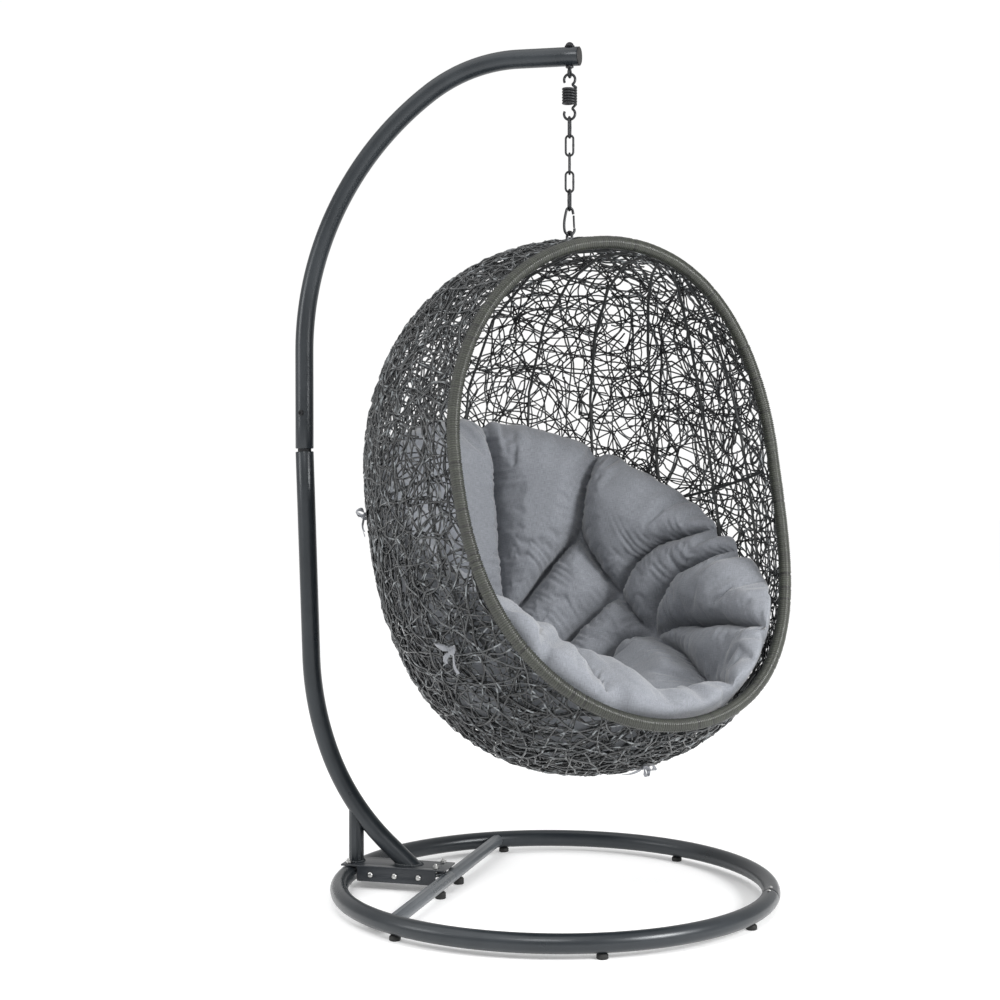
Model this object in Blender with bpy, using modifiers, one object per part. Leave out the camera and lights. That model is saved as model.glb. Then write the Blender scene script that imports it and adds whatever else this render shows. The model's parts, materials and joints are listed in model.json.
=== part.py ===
"""Hanging egg chair: a woven egg basket with a tufted pad, hung by a spring and chain from a
single bent mast that stands on a ring base.  Metres, +Z up, floor at z = 0.

The mast rises on the -X side of the ring and its arm reaches over towards +X.  The basket turns
about the vertical hang axis; at rest it faces half way between -Y and +X."""
import math

import bmesh
import bpy
from mathutils import Matrix, Vector

# ---------------------------------------------------------------- driving dimensions (metres)
GAP = 0.0003                        # clearance between touching pieces
RING_X, RING_Y = 0.0525, 0.0        # centre of the base ring, from the middle of the whole chair

RING_R = 0.4925                     # ring centreline radius
RING_TUBE_R = 0.0206
RING_Z = 0.0324                     # height of the ring tube's centre
BASE_WALL = 0.0015
BAR_X = -0.2517                     # crossbar, as a chord of the ring
BAR_TUBE_R = 0.0157
BAR_JOINT_GAP = 0.0012              # visible line where the two crossbar halves meet
FOOT_ANGLES = (17.3, 65.0, 119.0)   # rubber feet on each half of the ring, degrees from +X
FOOT_R = 0.0125
BAR_FOOT_Y = 0.072

SHOE_X0, SHOE_X1 = -0.506, -0.252   # mast shoe: an inverted channel from the ring to the bar
SHOE_HALF_W = 0.0435
SHOE_TOP = 0.0575
SHEET = 0.004
WEB_X0, WEB_X1 = -0.466, -0.2735
WEB_BOTTOM = 0.0205
SIDE_BOLT_X = (-0.433, -0.3735, -0.3147)
SIDE_BOLT_Z = 0.0366
CORNER_BOLT_Y = 0.030
TAB_BOLT_X = -0.2765

MAST_R = 0.0215
MAST_WALL = 0.0015
PLUG_R = 0.0186                     # stem of the plug in the arm's end
MAST_X = -0.6127                    # upright part of the mast
JOINT_Z = 1.0313                    # where the upper mast tube meets the lower one
NECK_GAP = 0.007                    # bare spigot between the two tubes
SPIGOT_R = 0.0165
UPPER_BENDS = ((0.2298, 0.0), (0.6986, 55.4), (0.229, 35.4), (0.1405, 0.0))   # length, turn in deg
LOWER_BENDS = ((0.4882, 0.0), (0.2294, 19.2), (0.2609, 27.4), (0.0900, 0.0))
LOWER_TILT = 1.87                   # lean of the lower tube, degrees
MAST_BOLT_Z = 1.1195
STRUT_X = -0.4830
STRUT_R = 0.0182

HANG_X = 0.0343                     # the hang axis under the arm
ARM_Z = 1.9233
EYE_WIRE_R = 0.0035
EYE_R = 0.0085
EYE_BOTTOM_Z = 1.8770               # centre of the eye's lowest wire
SPRING_WIRE_R = 0.003
COIL_R = 0.0145
COIL_TURNS = 6
COIL_TOP, COIL_BOTTOM = 1.8530, 1.8150
HOOK_R = 0.0128
LINK_WIRE_R = 0.0025
LINK_HALF_W = 0.0088                # to the wire's centre
LINK_LEN = 0.0465                   # between the centres of its two end bends
LINK_TOPS = [1.7863 - 0.0412 * i for i in range(5)]
CHAIN_TWIST = 9.4                   # turn at each of the five lowest chain joints, degrees
CARABINER_WIRE_R = 0.003
CARABINER_TOP, CARABINER_BOTTOM = 1.5808, 1.5194
LOOP_WIRE_R = 0.0035
LOOP_TOP = 1.5262                   # centre of the basket loop's top wire
LOOP_HALF = 0.010

YAW = 5 * CHAIN_TWIST               # rest direction of the basket, degrees from -Y towards +X
EGG_TILT = 11.7                     # the egg leans back, degrees
EGG_FORWARD = 0.017                 # egg centre ahead of the hang axis
EGG_Z = 0.9813                      # egg centre above the floor
EGG_HALF_W = 0.457
EGG_HALF_D = 0.523
EGG_UP, EGG_DOWN = 0.5105, 0.680    # from the centre to the top and bottom
EGG_UP_SHAPE = (2.0, 2.35)          # superellipse powers of height and radius
EGG_DOWN_SHAPE = (2.875, 2.04)
MOUTH = (0.196, 0.014, 0.300)       # mouth's distance ahead of the centre: c0 + c1 h + c2 h^2
MOUTH_MID = -0.09                   # height of the mouth's middle
SKIN = 0.006                        # thickness of the weave
FLATS = 0.0085                      # room left between the weave's flat facets and the ribs
RIM_TUBE_R = 0.0105
WRAP_R = 0.0140
RIB_R = 0.0036
RIB_FANS = (10.0, 20.0, 31.0, 43.0, 56.0)
RIB_END = WRAP_R + 0.0095           # from the rim's centreline to a rib's end
HOOP_R = 0.0036
WAIST_H, SEAT_H = -0.035, -0.360    # heights of the two hoops that tie the ribs
PAD_INSET = 0.0315                  # from the egg's surface to the back of the pad
PAD_THICK = 0.1205
PAD_EDGE = 0.024                    # from the back of the pad to its rounded edge
PAD_MARGIN = -0.010                 # the pad's edge stands this far out of the mouth
PAD_TOP_BACK = 0.20                 # height of the pad's edge at the back
PAD_SLOPE = 0.84                    # fall of the pad's edge per metre forward

ALONG_X, ALONG_Y, ALONG_Z = Vector((1, 0, 0)), Vector((0, 1, 0)), Vector((0, 0, 1))


# ---------------------------------------------------------------- scene and materials
def clear_scene():
    for obj in list(bpy.data.objects):
        bpy.data.objects.remove(obj, do_unlink=True)
    for collection in list(bpy.data.collections):
        bpy.data.collections.remove(collection)


def new_collection(name):
    collection = bpy.data.collections.new(name)
    bpy.context.scene.collection.children.link(collection)
    return collection


clear_scene()
PARTS = new_collection("hanging_egg_chair")
CUTTERS = new_collection("cutters")


def material(name, colour, roughness, metallic):
    mat = bpy.data.materials.new(name)
    mat.use_nodes = True
    shader = mat.node_tree.nodes["Principled BSDF"]
    shader.inputs["Base Color"].default_value = (*colour, 1.0)
    shader.inputs["Roughness"].default_value = roughness
    shader.inputs["Metallic"].default_value = metallic
    return mat


STAND_PAINT = material("stand_paint", (0.045, 0.052, 0.060), 0.42, 0.35)
ZINC = material("zinc_steel", (0.55, 0.56, 0.58), 0.32, 1.0)
BLACK_STEEL = material("black_steel", (0.022, 0.023, 0.025), 0.38, 0.6)
RUBBER = material("black_rubber", (0.012, 0.012, 0.012), 0.75, 0.0)
FRAME_PAINT = material("basket_frame_paint", (0.020, 0.021, 0.022), 0.5, 0.3)
WICKER = material("grey_wicker", (0.062, 0.066, 0.068), 0.48, 0.0)
RIM_WICKER = material("olive_wicker", (0.115, 0.118, 0.098), 0.5, 0.0)
FABRIC = material("grey_fabric", (0.26, 0.27, 0.30), 0.9, 0.0)


# ---------------------------------------------------------------- modelling helpers
def adopt(obj, name, mat, collection=None):
    """Name the object, give it its material and move it to its collection."""
    for old in list(obj.users_collection):
        old.objects.unlink(obj)
    (collection or PARTS).objects.link(obj)
    obj.name = name
    obj.data.name = name
    obj.data.materials.clear()
    obj.data.materials.append(mat)
    return obj


def smooth(obj, angle=35):
    obj.data.shade_smooth()
    obj.data.set_sharp_from_angle(angle=math.radians(angle))
    return obj


def mesh_object(name, bm, mat, collection=None):
    mesh = bpy.data.meshes.new(name)
    bm.to_mesh(mesh)
    bm.free()
    return adopt(bpy.data.objects.new(name, mesh), name, mat, collection)


def wire(name, points, radius, mat, cyclic=False, sides_level=1, caps=True):
    """A rod along the points, as a bevelled poly curve."""
    curve = bpy.data.curves.new(name, "CURVE")
    curve.dimensions = "3D"
    curve.bevel_depth = radius
    curve.bevel_resolution = sides_level
    curve.use_fill_caps = caps and not cyclic
    spline = curve.splines.new("POLY")
    spline.points.add(len(points) - 1)
    for point, place in zip(spline.points, points):
        point.co = (*place, 1.0)
    spline.use_cyclic_u = cyclic
    return adopt(bpy.data.objects.new(name, curve), name, mat)


def as_mesh(obj):
    """The curve object as a mesh, its loose caps welded on."""
    name, mat, matrix = obj.name, obj.data.materials[0], obj.matrix_world.copy()
    graph = bpy.context.evaluated_depsgraph_get()
    mesh = bpy.data.meshes.new_from_object(obj.evaluated_get(graph))
    bpy.data.objects.remove(obj, do_unlink=True)
    bm = bmesh.new()
    bm.from_mesh(mesh)
    bmesh.ops.remove_doubles(bm, verts=bm.verts, dist=0.00001)
    solid = mesh_object(name, bm, mat)
    solid.matrix_world = matrix
    return smooth(solid)


def rod(name, points, radius, mat, **options):
    return as_mesh(wire(name, points, radius, mat, **options))


def tube(name, points, radius, wall, mat, sides_level=3):
    """A hollow tube with open ends."""
    obj = as_mesh(wire(name, points, radius, mat, sides_level=sides_level, caps=False))
    shell = obj.modifiers.new("wall", "SOLIDIFY")
    shell.thickness = wall
    shell.offset = -1.0
    return obj


def cylinder(name, start, end, radius, mat, sides=16, collection=None):
    start, end = Vector(start), Vector(end)
    bm = bmesh.new()
    bmesh.ops.create_cone(bm, cap_ends=True, segments=sides, radius1=radius, radius2=radius,
                          depth=(end - start).length)
    turn = ALONG_Z.rotation_difference(end - start).to_matrix().to_4x4()
    bmesh.ops.transform(bm, matrix=Matrix.Translation((start + end) / 2) @ turn, verts=bm.verts)
    return smooth(mesh_object(name, bm, mat, collection))


def box(name, low, high, mat, collection=None):
    low, high = Vector(low), Vector(high)
    bm = bmesh.new()
    bmesh.ops.create_cube(bm, size=1.0)
    bmesh.ops.scale(bm, vec=high - low, verts=bm.verts)
    bmesh.ops.translate(bm, vec=(low + high) / 2, verts=bm.verts)
    return mesh_object(name, bm, mat, collection)


def turned(name, profile, place, mat, axis=ALONG_Z, steps=20):
    """A turned solid: (radius, height) pairs down its outer side, top to bottom."""
    bm = bmesh.new()
    verts = [bm.verts.new((r, 0, z)) for r, z in profile]
    for a, b in zip(verts, verts[1:]):
        bm.edges.new((a, b))
    obj = mesh_object(name, bm, mat)
    screw = obj.modifiers.new("turn", "SCREW")
    screw.steps = screw.render_steps = steps
    screw.use_merge_vertices = True
    screw.merge_threshold = 0.00001
    screw.use_smooth_shade = True
    obj.matrix_world = (Matrix.Translation(place)
                        @ ALONG_Z.rotation_difference(axis).to_matrix().to_4x4())
    return obj


def evaluated_mesh(obj):
    """A plain mesh object in place of one with modifiers."""
    graph = bpy.context.evaluated_depsgraph_get()
    mesh = bpy.data.meshes.new_from_object(obj.evaluated_get(graph))
    name, mat, matrix = obj.name, obj.data.materials[0], obj.matrix_world.copy()
    bpy.data.objects.remove(obj, do_unlink=True)
    solid = adopt(bpy.data.objects.new(name, mesh), name, mat)
    solid.matrix_world = matrix
    return solid


def boolean(obj, other, operation):
    """Join another solid to this one, or cut it away, with the EXACT solver."""
    cut = obj.modifiers.new(operation.lower(), "BOOLEAN")
    cut.operation = operation
    cut.solver = "EXACT"
    cut.object = other
    if operation == "DIFFERENCE":
        other.hide_render = True
        other.display_type = "WIRE"
    return obj


def joined(name, pieces, mat):
    """Several overlapping solids as one."""
    base = pieces[0]
    for other in pieces[1:]:
        boolean(base, other, "UNION")
    bpy.context.view_layer.update()
    solid = evaluated_mesh(base)
    for other in pieces[1:]:
        bpy.data.objects.remove(other, do_unlink=True)
    return adopt(solid, name, mat)


def drill(objs, start, end, radius, sides=12):
    """The same round hole through each of the objects."""
    cutter = cylinder("hole", start, end, radius, STAND_PAINT, sides, CUTTERS)
    for obj in objs:
        boolean(obj, cutter, "DIFFERENCE")


def arc(centre, radius, start, end, count, u=ALONG_X, v=ALONG_Y):
    """Points of a circular arc from start to end degrees in the plane of u and v."""
    points = []
    for i in range(count + 1):
        angle = math.radians(start + (end - start) * i / count)
        points.append(Vector(centre) + radius * (math.cos(angle) * u + math.sin(angle) * v))
    return points


# ---------------------------------------------------------------- base ring
def ring_point(angle, radius=RING_R, z=RING_Z):
    turn = math.radians(angle)
    return Vector((radius * math.cos(turn), radius * math.sin(turn), z))


def half_ring_line(side):
    """A little over half a ring, so that its ends can be cut square."""
    return arc((0, 0, RING_Z), RING_R, side * -0.4, side * 180.4, 24)


def make_ring_halves():
    """Two half rings that meet under the mast shoe and opposite it."""
    halves = []
    for name, side in (("ring_half_near", -1), ("ring_half_far", 1)):
        half = tube(name, half_ring_line(side), RING_TUBE_R, BASE_WALL, STAND_PAINT)
        ends = sorted((side * GAP, -side * 0.1))
        other_side = box("other_side", (-0.6, ends[0], -0.1), (0.6, ends[1], 0.1), STAND_PAINT,
                         CUTTERS)
        halves.append(boolean(half, other_side, "DIFFERENCE"))
    return halves


def make_ring_couplers(halves):
    """Curved rods inside both joints of the ring, with their screws or bolts."""
    inside = RING_TUBE_R - BASE_WALL - 2 * GAP
    front = tube("ring_coupler_front", arc((0, 0, RING_Z), RING_R, -7.4, 7.4, 2), inside, 0.002, ZINC)
    back = tube("ring_coupler_back", arc((0, 0, RING_Z), RING_R, 172.6, 187.4, 2), inside, 0.002, ZINC)
    for side, label in ((-1, "near"), (1, "far")):
        place = ring_point(side * 1.9)
        top = place.z + RING_TUBE_R
        drill([*halves, front], place + ALONG_Z * 0.008, place + ALONG_Z * 0.03, 0.0028)
        profile = ((0.0, 0.0034), (0.0028, 0.0030), (0.0048, 0.0012), (0.0048, 0.0),
                   (0.0024, 0.0), (0.0024, -0.007), (0.0, -0.007))
        turned(f"ring_screw_{label}", profile, Vector((place.x, place.y, top + 2 * GAP)), ZINC,
               steps=12)
    return front, back


def make_crossbar(halves):
    """Two bar halves, each coped to its half ring, with a tab for the mast shoe."""
    bars = []
    reach = math.sqrt(RING_R ** 2 - BAR_X ** 2)
    for name, side in (("crossbar_near", -1), ("crossbar_far", 1)):
        start = Vector((BAR_X, side * BAR_JOINT_GAP / 2, RING_Z))
        end = Vector((BAR_X, side * reach, RING_Z))
        bar = rod(name, [start, end], BAR_TUBE_R, STAND_PAINT, sides_level=3)
        tab = box("tab", (TAB_BOLT_X - 0.010, side * CORNER_BOLT_Y - 0.0085, 0.0450),
                  (BAR_X, side * CORNER_BOLT_Y + 0.0085, 0.0478), STAND_PAINT)
        bar = joined(name, [bar, tab], STAND_PAINT)
        bore = cylinder("bar_bore", start - side * ALONG_Y * 0.02, end, BAR_TUBE_R - BASE_WALL,
                        STAND_PAINT, 16, CUTTERS)
        boolean(bar, bore, "DIFFERENCE")
        cope = rod("cope", half_ring_line(side), RING_TUBE_R + GAP, STAND_PAINT, sides_level=3)
        adopt(cope, "cope", STAND_PAINT, CUTTERS)
        boolean(bar, cope, "DIFFERENCE")
        bars.append(smooth(bar))
    rod("crossbar_spigot", [(BAR_X, -0.05, RING_Z), (BAR_X, 0.05, RING_Z)],
        BAR_TUBE_R - BASE_WALL - 2 * GAP, ZINC, sides_level=3)
    return bars


def make_feet():
    """Round rubber feet under the ring tube and the crossbar."""
    def foot(name, x, y, top):
        profile = ((0.0, top), (0.0095, top), (FOOT_R, top - 0.003), (FOOT_R, 0.0015),
                   (FOOT_R - 0.0015, 0.0), (0.0, 0.0))
        turned(name, profile, Vector((x, y, 0)), RUBBER, steps=16)

    ring_top = RING_Z - RING_TUBE_R - GAP
    bar_top = RING_Z - BAR_TUBE_R - GAP
    for side, label in ((-1, "near"), (1, "far")):
        for i, angle in enumerate(FOOT_ANGLES):
            place = ring_point(side * angle)
            foot(f"foot_{label}_{i + 1}", place.x, place.y, ring_top)
        foot(f"foot_bar_{label}", BAR_X, side * BAR_FOOT_Y, bar_top)


# ---------------------------------------------------------------- mast shoe
def make_shoe():
    """The inverted channel that carries the mast, and the inner channel it is bolted through."""
    plate = box("plate", (SHOE_X0, -SHOE_HALF_W, SHOE_TOP - SHEET),
                (SHOE_X1, SHOE_HALF_W, SHOE_TOP), STAND_PAINT)
    webs = [box("web", (WEB_X0, side * SHOE_HALF_W - (SHEET if side > 0 else 0), WEB_BOTTOM),
                (WEB_X1, side * SHOE_HALF_W + (SHEET if side < 0 else 0), SHOE_TOP - 0.001),
                STAND_PAINT) for side in (-1, 1)]
    shoe = joined("mast_shoe", [plate, *webs], STAND_PAINT)
    half = SHOE_HALF_W - SHEET - 2 * GAP
    top = SHOE_TOP - SHEET - 2 * GAP
    outer = box("outer", (WEB_X0 + 0.004, -half, WEB_BOTTOM + 0.004),
                (WEB_X1 - 0.0145, half, top), STAND_PAINT)
    inner = box("channel_core", (WEB_X0 - 0.01, -half + 0.003, WEB_BOTTOM - 0.01),
                (WEB_X1 + 0.01, half - 0.003, top - 0.003), STAND_PAINT, CUTTERS)
    channel = boolean(outer, inner, "DIFFERENCE")
    return shoe, adopt(channel, "inner_channel", STAND_PAINT)


def hex_nut(name, start, end):
    return cylinder(name, start, end, 0.0072, ZINC, sides=6)


def make_side_bolts(shoe, channel):
    """Three bolts across the channel, heads on the near side and nuts on the far side."""
    face = SHOE_HALF_W + GAP
    for i, x in enumerate(SIDE_BOLT_X):
        drill([shoe, channel], (x, -0.06, SIDE_BOLT_Z), (x, 0.06, SIDE_BOLT_Z), 0.0038)
        shank = cylinder("shank", (x, -face - 0.001, SIDE_BOLT_Z), (x, face + 0.010, SIDE_BOLT_Z),
                         0.0034, ZINC, 12)
        head = turned("head", ((0.0, 0.0045), (0.0045, 0.0040), (0.0066, 0.0018), (0.0066, 0.0),
                               (0.0, 0.0)), Vector((x, -face, SIDE_BOLT_Z)), ZINC, -ALONG_Y, 14)
        smooth(joined(f"side_bolt_{i + 1}", [shank, evaluated_mesh(head)], ZINC))
        nut = hex_nut(f"side_nut_{i + 1}", (x, face, SIDE_BOLT_Z), (x, face + 0.006, SIDE_BOLT_Z))
        drill([nut], (x, face - 0.01, SIDE_BOLT_Z), (x, face + 0.02, SIDE_BOLT_Z), 0.0034 + GAP)


def make_corner_bolts(shoe, halves, bars, back_coupler):
    """Four upright bolts: two through the ring, two through the crossbar tabs."""
    ring_x = -math.sqrt(RING_R ** 2 - CORNER_BOLT_Y ** 2)
    spots = [(ring_x, -1, 0.0065), (ring_x, 1, 0.0065), (TAB_BOLT_X, -1, 0.0385),
             (TAB_BOLT_X, 1, 0.0385)]
    for i, (x, side, low) in enumerate(spots):
        y = side * CORNER_BOLT_Y
        drill([shoe, *halves, *bars, back_coupler], (x, y, -0.02), (x, y, 0.09), 0.0037)
        head_top = RING_Z - RING_TUBE_R - GAP if x == ring_x else 0.0450 - GAP
        head = cylinder("head", (x, y, low), (x, y, head_top), 0.0066, ZINC, sides=6)
        shank = cylinder("shank", (x, y, head_top - 0.002), (x, y, SHOE_TOP + 0.011), 0.0033,
                         ZINC, 12)
        smooth(joined(f"corner_bolt_{i + 1}", [shank, head], ZINC))
        nut = hex_nut(f"corner_nut_{i + 1}", (x, y, SHOE_TOP + GAP), (x, y, SHOE_TOP + 0.0068))
        drill([nut], (x, y, 0.04), (x, y, 0.09), 0.0033 + GAP)


# ---------------------------------------------------------------- mast
def bent_line(start, heading, bends, turn_sign, step=4.5):
    """Centreline in the XZ plane: straight runs and arcs of (length, turn)."""
    x, z = start
    angle = math.radians(heading)
    points = [Vector((x, 0, z))]
    for length, turn in bends:
        count = max(1, math.ceil(abs(turn) / step))
        for _ in range(count):
            half = math.radians(turn_sign * turn) / count / 2
            angle += half
            x += length / count * math.cos(angle)
            z += length / count * math.sin(angle)
            angle += half
            points.append(Vector((x, 0, z)))
    return points


def make_mast():
    upper = tube("mast_upper", bent_line((MAST_X, JOINT_Z + NECK_GAP / 2), 90, UPPER_BENDS, -1),
                 MAST_R, MAST_WALL, STAND_PAINT)
    line = bent_line((MAST_X, JOINT_Z - NECK_GAP / 2), -90 + LOWER_TILT, LOWER_BENDS, 1)
    lower = tube("mast_lower", line, MAST_R, MAST_WALL, STAND_PAINT)
    floor_cut = box("shoe_top", (-0.6, -0.1, SHOE_TOP - 0.1), (-0.2, 0.1, SHOE_TOP + GAP),
                    STAND_PAINT, CUTTERS)
    boolean(lower, floor_cut, "DIFFERENCE")
    spigot = rod("mast_spigot", [(MAST_X, 0, JOINT_Z - 0.07), (MAST_X, 0, JOINT_Z + 0.13)],
                 SPIGOT_R, BLACK_STEEL, sides_level=3)
    strut = rod("strut", [(STRUT_X, 0, SHOE_TOP + GAP), (STRUT_X, 0, 0.192)], STRUT_R, STAND_PAINT,
                sides_level=3)
    bore = cylinder("strut_bore", (STRUT_X, 0, 0), (STRUT_X, 0, 0.3), STRUT_R - MAST_WALL,
                    STAND_PAINT, 16, CUTTERS)
    cope = as_mesh(wire("strut_cope", line + [line[-1] + (line[-1] - line[-2])], MAST_R + GAP,
                        STAND_PAINT, sides_level=3))
    adopt(cope, "strut_cope", STAND_PAINT, CUTTERS)
    for cutter in (bore, cope):
        boolean(strut, cutter, "DIFFERENCE")
    return upper, lower, spigot


def make_mast_bolt(upper, spigot):
    """Socket-head bolt and cap nut that lock the upper tube on the spigot."""
    z, face = MAST_BOLT_Z, MAST_R + GAP
    drill([upper, spigot], (MAST_X, -0.04, z), (MAST_X, 0.04, z), 0.0043)
    shank = cylinder("shank", (MAST_X, -face - 0.001, z), (MAST_X, face + 0.004, z), 0.0038,
                     BLACK_STEEL, 12)
    head = turned("head", ((0.0, 0.0020), (0.0030, 0.0020), (0.0030, 0.0050), (0.0055, 0.0050),
                           (0.0066, 0.0038), (0.0066, 0.0), (0.0, 0.0)),
                  Vector((MAST_X, -face, z)), BLACK_STEEL, -ALONG_Y, 16)
    joined("mast_bolt", [shank, evaluated_mesh(head)], ZINC)
    nut = turned("mast_cap_nut", ((0.0, 0.0105), (0.0040, 0.0095), (0.0064, 0.0062),
                                  (0.0070, 0.0), (0.0041, 0.0), (0.0041, 0.0062), (0.0, 0.0070)),
                 Vector((MAST_X, face, z)), ZINC, ALONG_Y, 14)
    return nut


def make_arm_end(upper):
    """The plug that closes the arm and the eye bolt that hangs through it."""
    tip = bent_line((MAST_X, JOINT_Z + NECK_GAP / 2), 90, UPPER_BENDS, -1)
    end, along = tip[-1], (tip[-1] - tip[-2]).normalized()
    turned("arm_plug", ((0.0, 0.0035), (0.0185, 0.0035), (MAST_R, 0.0015), (MAST_R, 0.0),
                        (PLUG_R, 0.0), (PLUG_R, -0.010), (0.0, -0.010)),
           end + along * GAP, RUBBER, along, 24)
    drill([upper], (HANG_X, 0, 1.85), (HANG_X, 0, 1.97), 0.0066)
    top, bottom = ARM_Z + MAST_R, ARM_Z - MAST_R
    eye = rod("eye", arc((HANG_X, 0, EYE_BOTTOM_Z + EYE_R), EYE_R, 0, 345, 23, ALONG_Y, ALONG_Z),
              EYE_WIRE_R, BLACK_STEEL, cyclic=True)
    neck = turned("neck", ((0.0, top + 0.006), (0.0050, top + 0.006), (0.0050, bottom - 0.0006),
                           (0.0092, bottom - 0.0012), (0.0092, bottom - 0.0040),
                           (0.0055, bottom - 0.0046), (0.0042, EYE_BOTTOM_Z + 2 * EYE_R),
                           (0.0, EYE_BOTTOM_Z + 2 * EYE_R - 0.0005)),
                  Vector((HANG_X, 0, 0)), BLACK_STEEL, steps=16)
    joined("eye_bolt", [evaluated_mesh(neck), eye], BLACK_STEEL)
    turned("arm_cap_nut", ((0.0, 0.0105), (0.0045, 0.0096), (0.0085, 0.0062), (0.0095, 0.0030),
                           (0.0115, 0.0020), (0.0115, 0.0), (0.0054, 0.0), (0.0054, 0.0075),
                           (0.0, 0.0080)), Vector((HANG_X, 0, top + 0.0006)), BLACK_STEEL)


# ---------------------------------------------------------------- hanging train
def make_spring():
    """Close-wound extension spring with a full hook at each end, in the XZ plane."""
    top = EYE_BOTTOM_Z + EYE_WIRE_R + SPRING_WIRE_R + GAP
    bottom = LINK_TOPS[0] - LINK_WIRE_R - SPRING_WIRE_R - GAP
    upper = arc((0, 0, top - HOOK_R), HOOK_R, 210, -55, 13, ALONG_X, ALONG_Z)
    coil = []
    count = COIL_TURNS * 12
    for i in range(count + 1):
        angle = 2 * math.pi * i / 12
        z = COIL_TOP + (COIL_BOTTOM - COIL_TOP) * i / count
        coil.append(Vector((COIL_R * math.cos(angle), COIL_R * math.sin(angle), z)))
    lower = arc((0, 0, bottom + HOOK_R), HOOK_R, 55, -210, 13, ALONG_X, ALONG_Z)
    points = upper + coil + lower
    spring = rod("spring", [p - ALONG_Z * top for p in points], SPRING_WIRE_R, BLACK_STEEL)
    spring.location = (HANG_X, 0, top)
    return spring


def make_chain():
    """Five oval links; each lower one starts to take up the basket's turn."""
    turns = (90, 0, 90 + CHAIN_TWIST, 2 * CHAIN_TWIST, 90 + 3 * CHAIN_TWIST)
    for i, (top, turn) in enumerate(zip(LINK_TOPS, turns)):
        upper = arc((0, 0, -LINK_HALF_W), LINK_HALF_W, 0, 180, 8, ALONG_X, ALONG_Z)
        lower = arc((0, 0, LINK_HALF_W - LINK_LEN), LINK_HALF_W, 180, 360, 8, ALONG_X, ALONG_Z)
        link = rod(f"chain_link_{i + 1}", upper + lower, LINK_WIRE_R, BLACK_STEEL, cyclic=True)
        link.matrix_world = (Matrix.Translation((HANG_X, 0, top))
                             @ Matrix.Rotation(math.radians(turn), 4, "Z"))


GATE_PIVOT = Vector((0.0104, 0, -0.0180))       # from the centre of the carabiner's top wire
GATE_TIP = Vector((0.0117, 0, -0.0440))


def make_carabiner():
    """Pear-shaped snap hook, with its gate on the side away from the spine."""
    length = CARABINER_TOP - CARABINER_BOTTOM
    narrow, wide = 0.0078, 0.0125
    top = arc((0, 0, -narrow), narrow, 20, 168, 7, ALONG_X, ALONG_Z)
    base = arc((0, 0, wide - length), wide, 188, 352, 9, ALONG_X, ALONG_Z)
    start = GATE_PIVOT + Vector((-0.0008, 0, 0.0037))
    nose = Vector((wide - 0.0002, 0, wide - length + 0.0028))
    body = rod("carabiner", [start, *top, *base, nose], CARABINER_WIRE_R, BLACK_STEEL)
    gate = rod("carabiner_gate", [Vector(), GATE_TIP - GATE_PIVOT], 0.0024, BLACK_STEEL,
               sides_level=2)
    turn = Matrix.Rotation(math.radians(4 * CHAIN_TWIST), 4, "Z")
    hang = Matrix.Translation((HANG_X, 0, CARABINER_TOP))
    body.matrix_world = hang @ turn
    gate.matrix_world = hang @ turn @ Matrix.Translation(GATE_PIVOT)


# ---------------------------------------------------------------- egg surface
def egg_radius(h):
    """Half width of the egg at height h above its centre."""
    reach, (n, m) = (EGG_UP, EGG_UP_SHAPE) if h > 0 else (EGG_DOWN, EGG_DOWN_SHAPE)
    rest = 1.0 - abs(h / reach) ** n
    return EGG_HALF_W * rest ** (1.0 / m) if rest > 0 else 0.0


def inside_egg(p):
    radius = egg_radius(p.z)
    return radius > 0 and p.x ** 2 + (p.y * EGG_HALF_W / EGG_HALF_D) ** 2 < radius ** 2


def egg_hit(origin, direction):
    """Where a ray from inside meets the egg; points are (side, forward, up) from its centre."""
    low, high = 0.0, 1.6
    for _ in range(40):
        middle = (low + high) / 2
        if inside_egg(origin + direction * middle):
            low = middle
        else:
            high = middle
    return origin + direction * low


def inward(direction):
    """Unit normal into the egg where a ray from the centre meets it."""
    side = direction.orthogonal().normalized()
    other = direction.cross(side)
    step = 0.004
    here = egg_hit(Vector(), direction)
    a = egg_hit(Vector(), (direction + side * step).normalized()) - here
    b = egg_hit(Vector(), (direction + other * step).normalized()) - here
    normal = a.cross(b).normalized()
    return normal if normal.dot(direction) < 0 else -normal


def inset_point(point, depth):
    """A surface point moved into the egg along its normal."""
    return point + inward(point.normalized()) * depth


def mouth(h):
    return MOUTH[0] + MOUTH[1] * h + MOUTH[2] * h * h


def rim_point(angle):
    """Rim centreline, angle in degrees from the top of the mouth."""
    turn = math.radians(angle)
    low, high = 0.0, 1.0
    for _ in range(40):
        middle = (low + high) / 2
        h = MOUTH_MID + middle * math.cos(turn)
        if inside_egg(Vector((middle * math.sin(turn), mouth(h), h))):
            low = middle
        else:
            high = middle
    h = MOUTH_MID + low * math.cos(turn)
    return Vector((low * math.sin(turn), mouth(h), h))


def to_basket(p):
    """From egg (side, forward, up) to the basket frame: X side, Y back, Z up from the loop."""
    tilt = math.radians(EGG_TILT)
    forward = EGG_FORWARD + p.y * math.cos(tilt) - p.z * math.sin(tilt)
    up = EGG_Z - LOOP_TOP + p.z * math.cos(tilt) + p.y * math.sin(tilt)
    return Vector((p.x, -forward, up))


def hang_basket_piece(obj):
    """Place a piece modelled in the basket frame on the hang axis, turned to its rest yaw."""
    obj.matrix_world = (Matrix.Translation((HANG_X, 0, LOOP_TOP))
                        @ Matrix.Rotation(math.radians(YAW), 4, "Z"))
    return obj


def slerp(a, b, t):
    angle = a.angle(b)
    if angle < 1e-6:
        return a.copy()
    return (a * math.sin((1 - t) * angle) + b * math.sin(t * angle)) / math.sin(angle)


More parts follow.
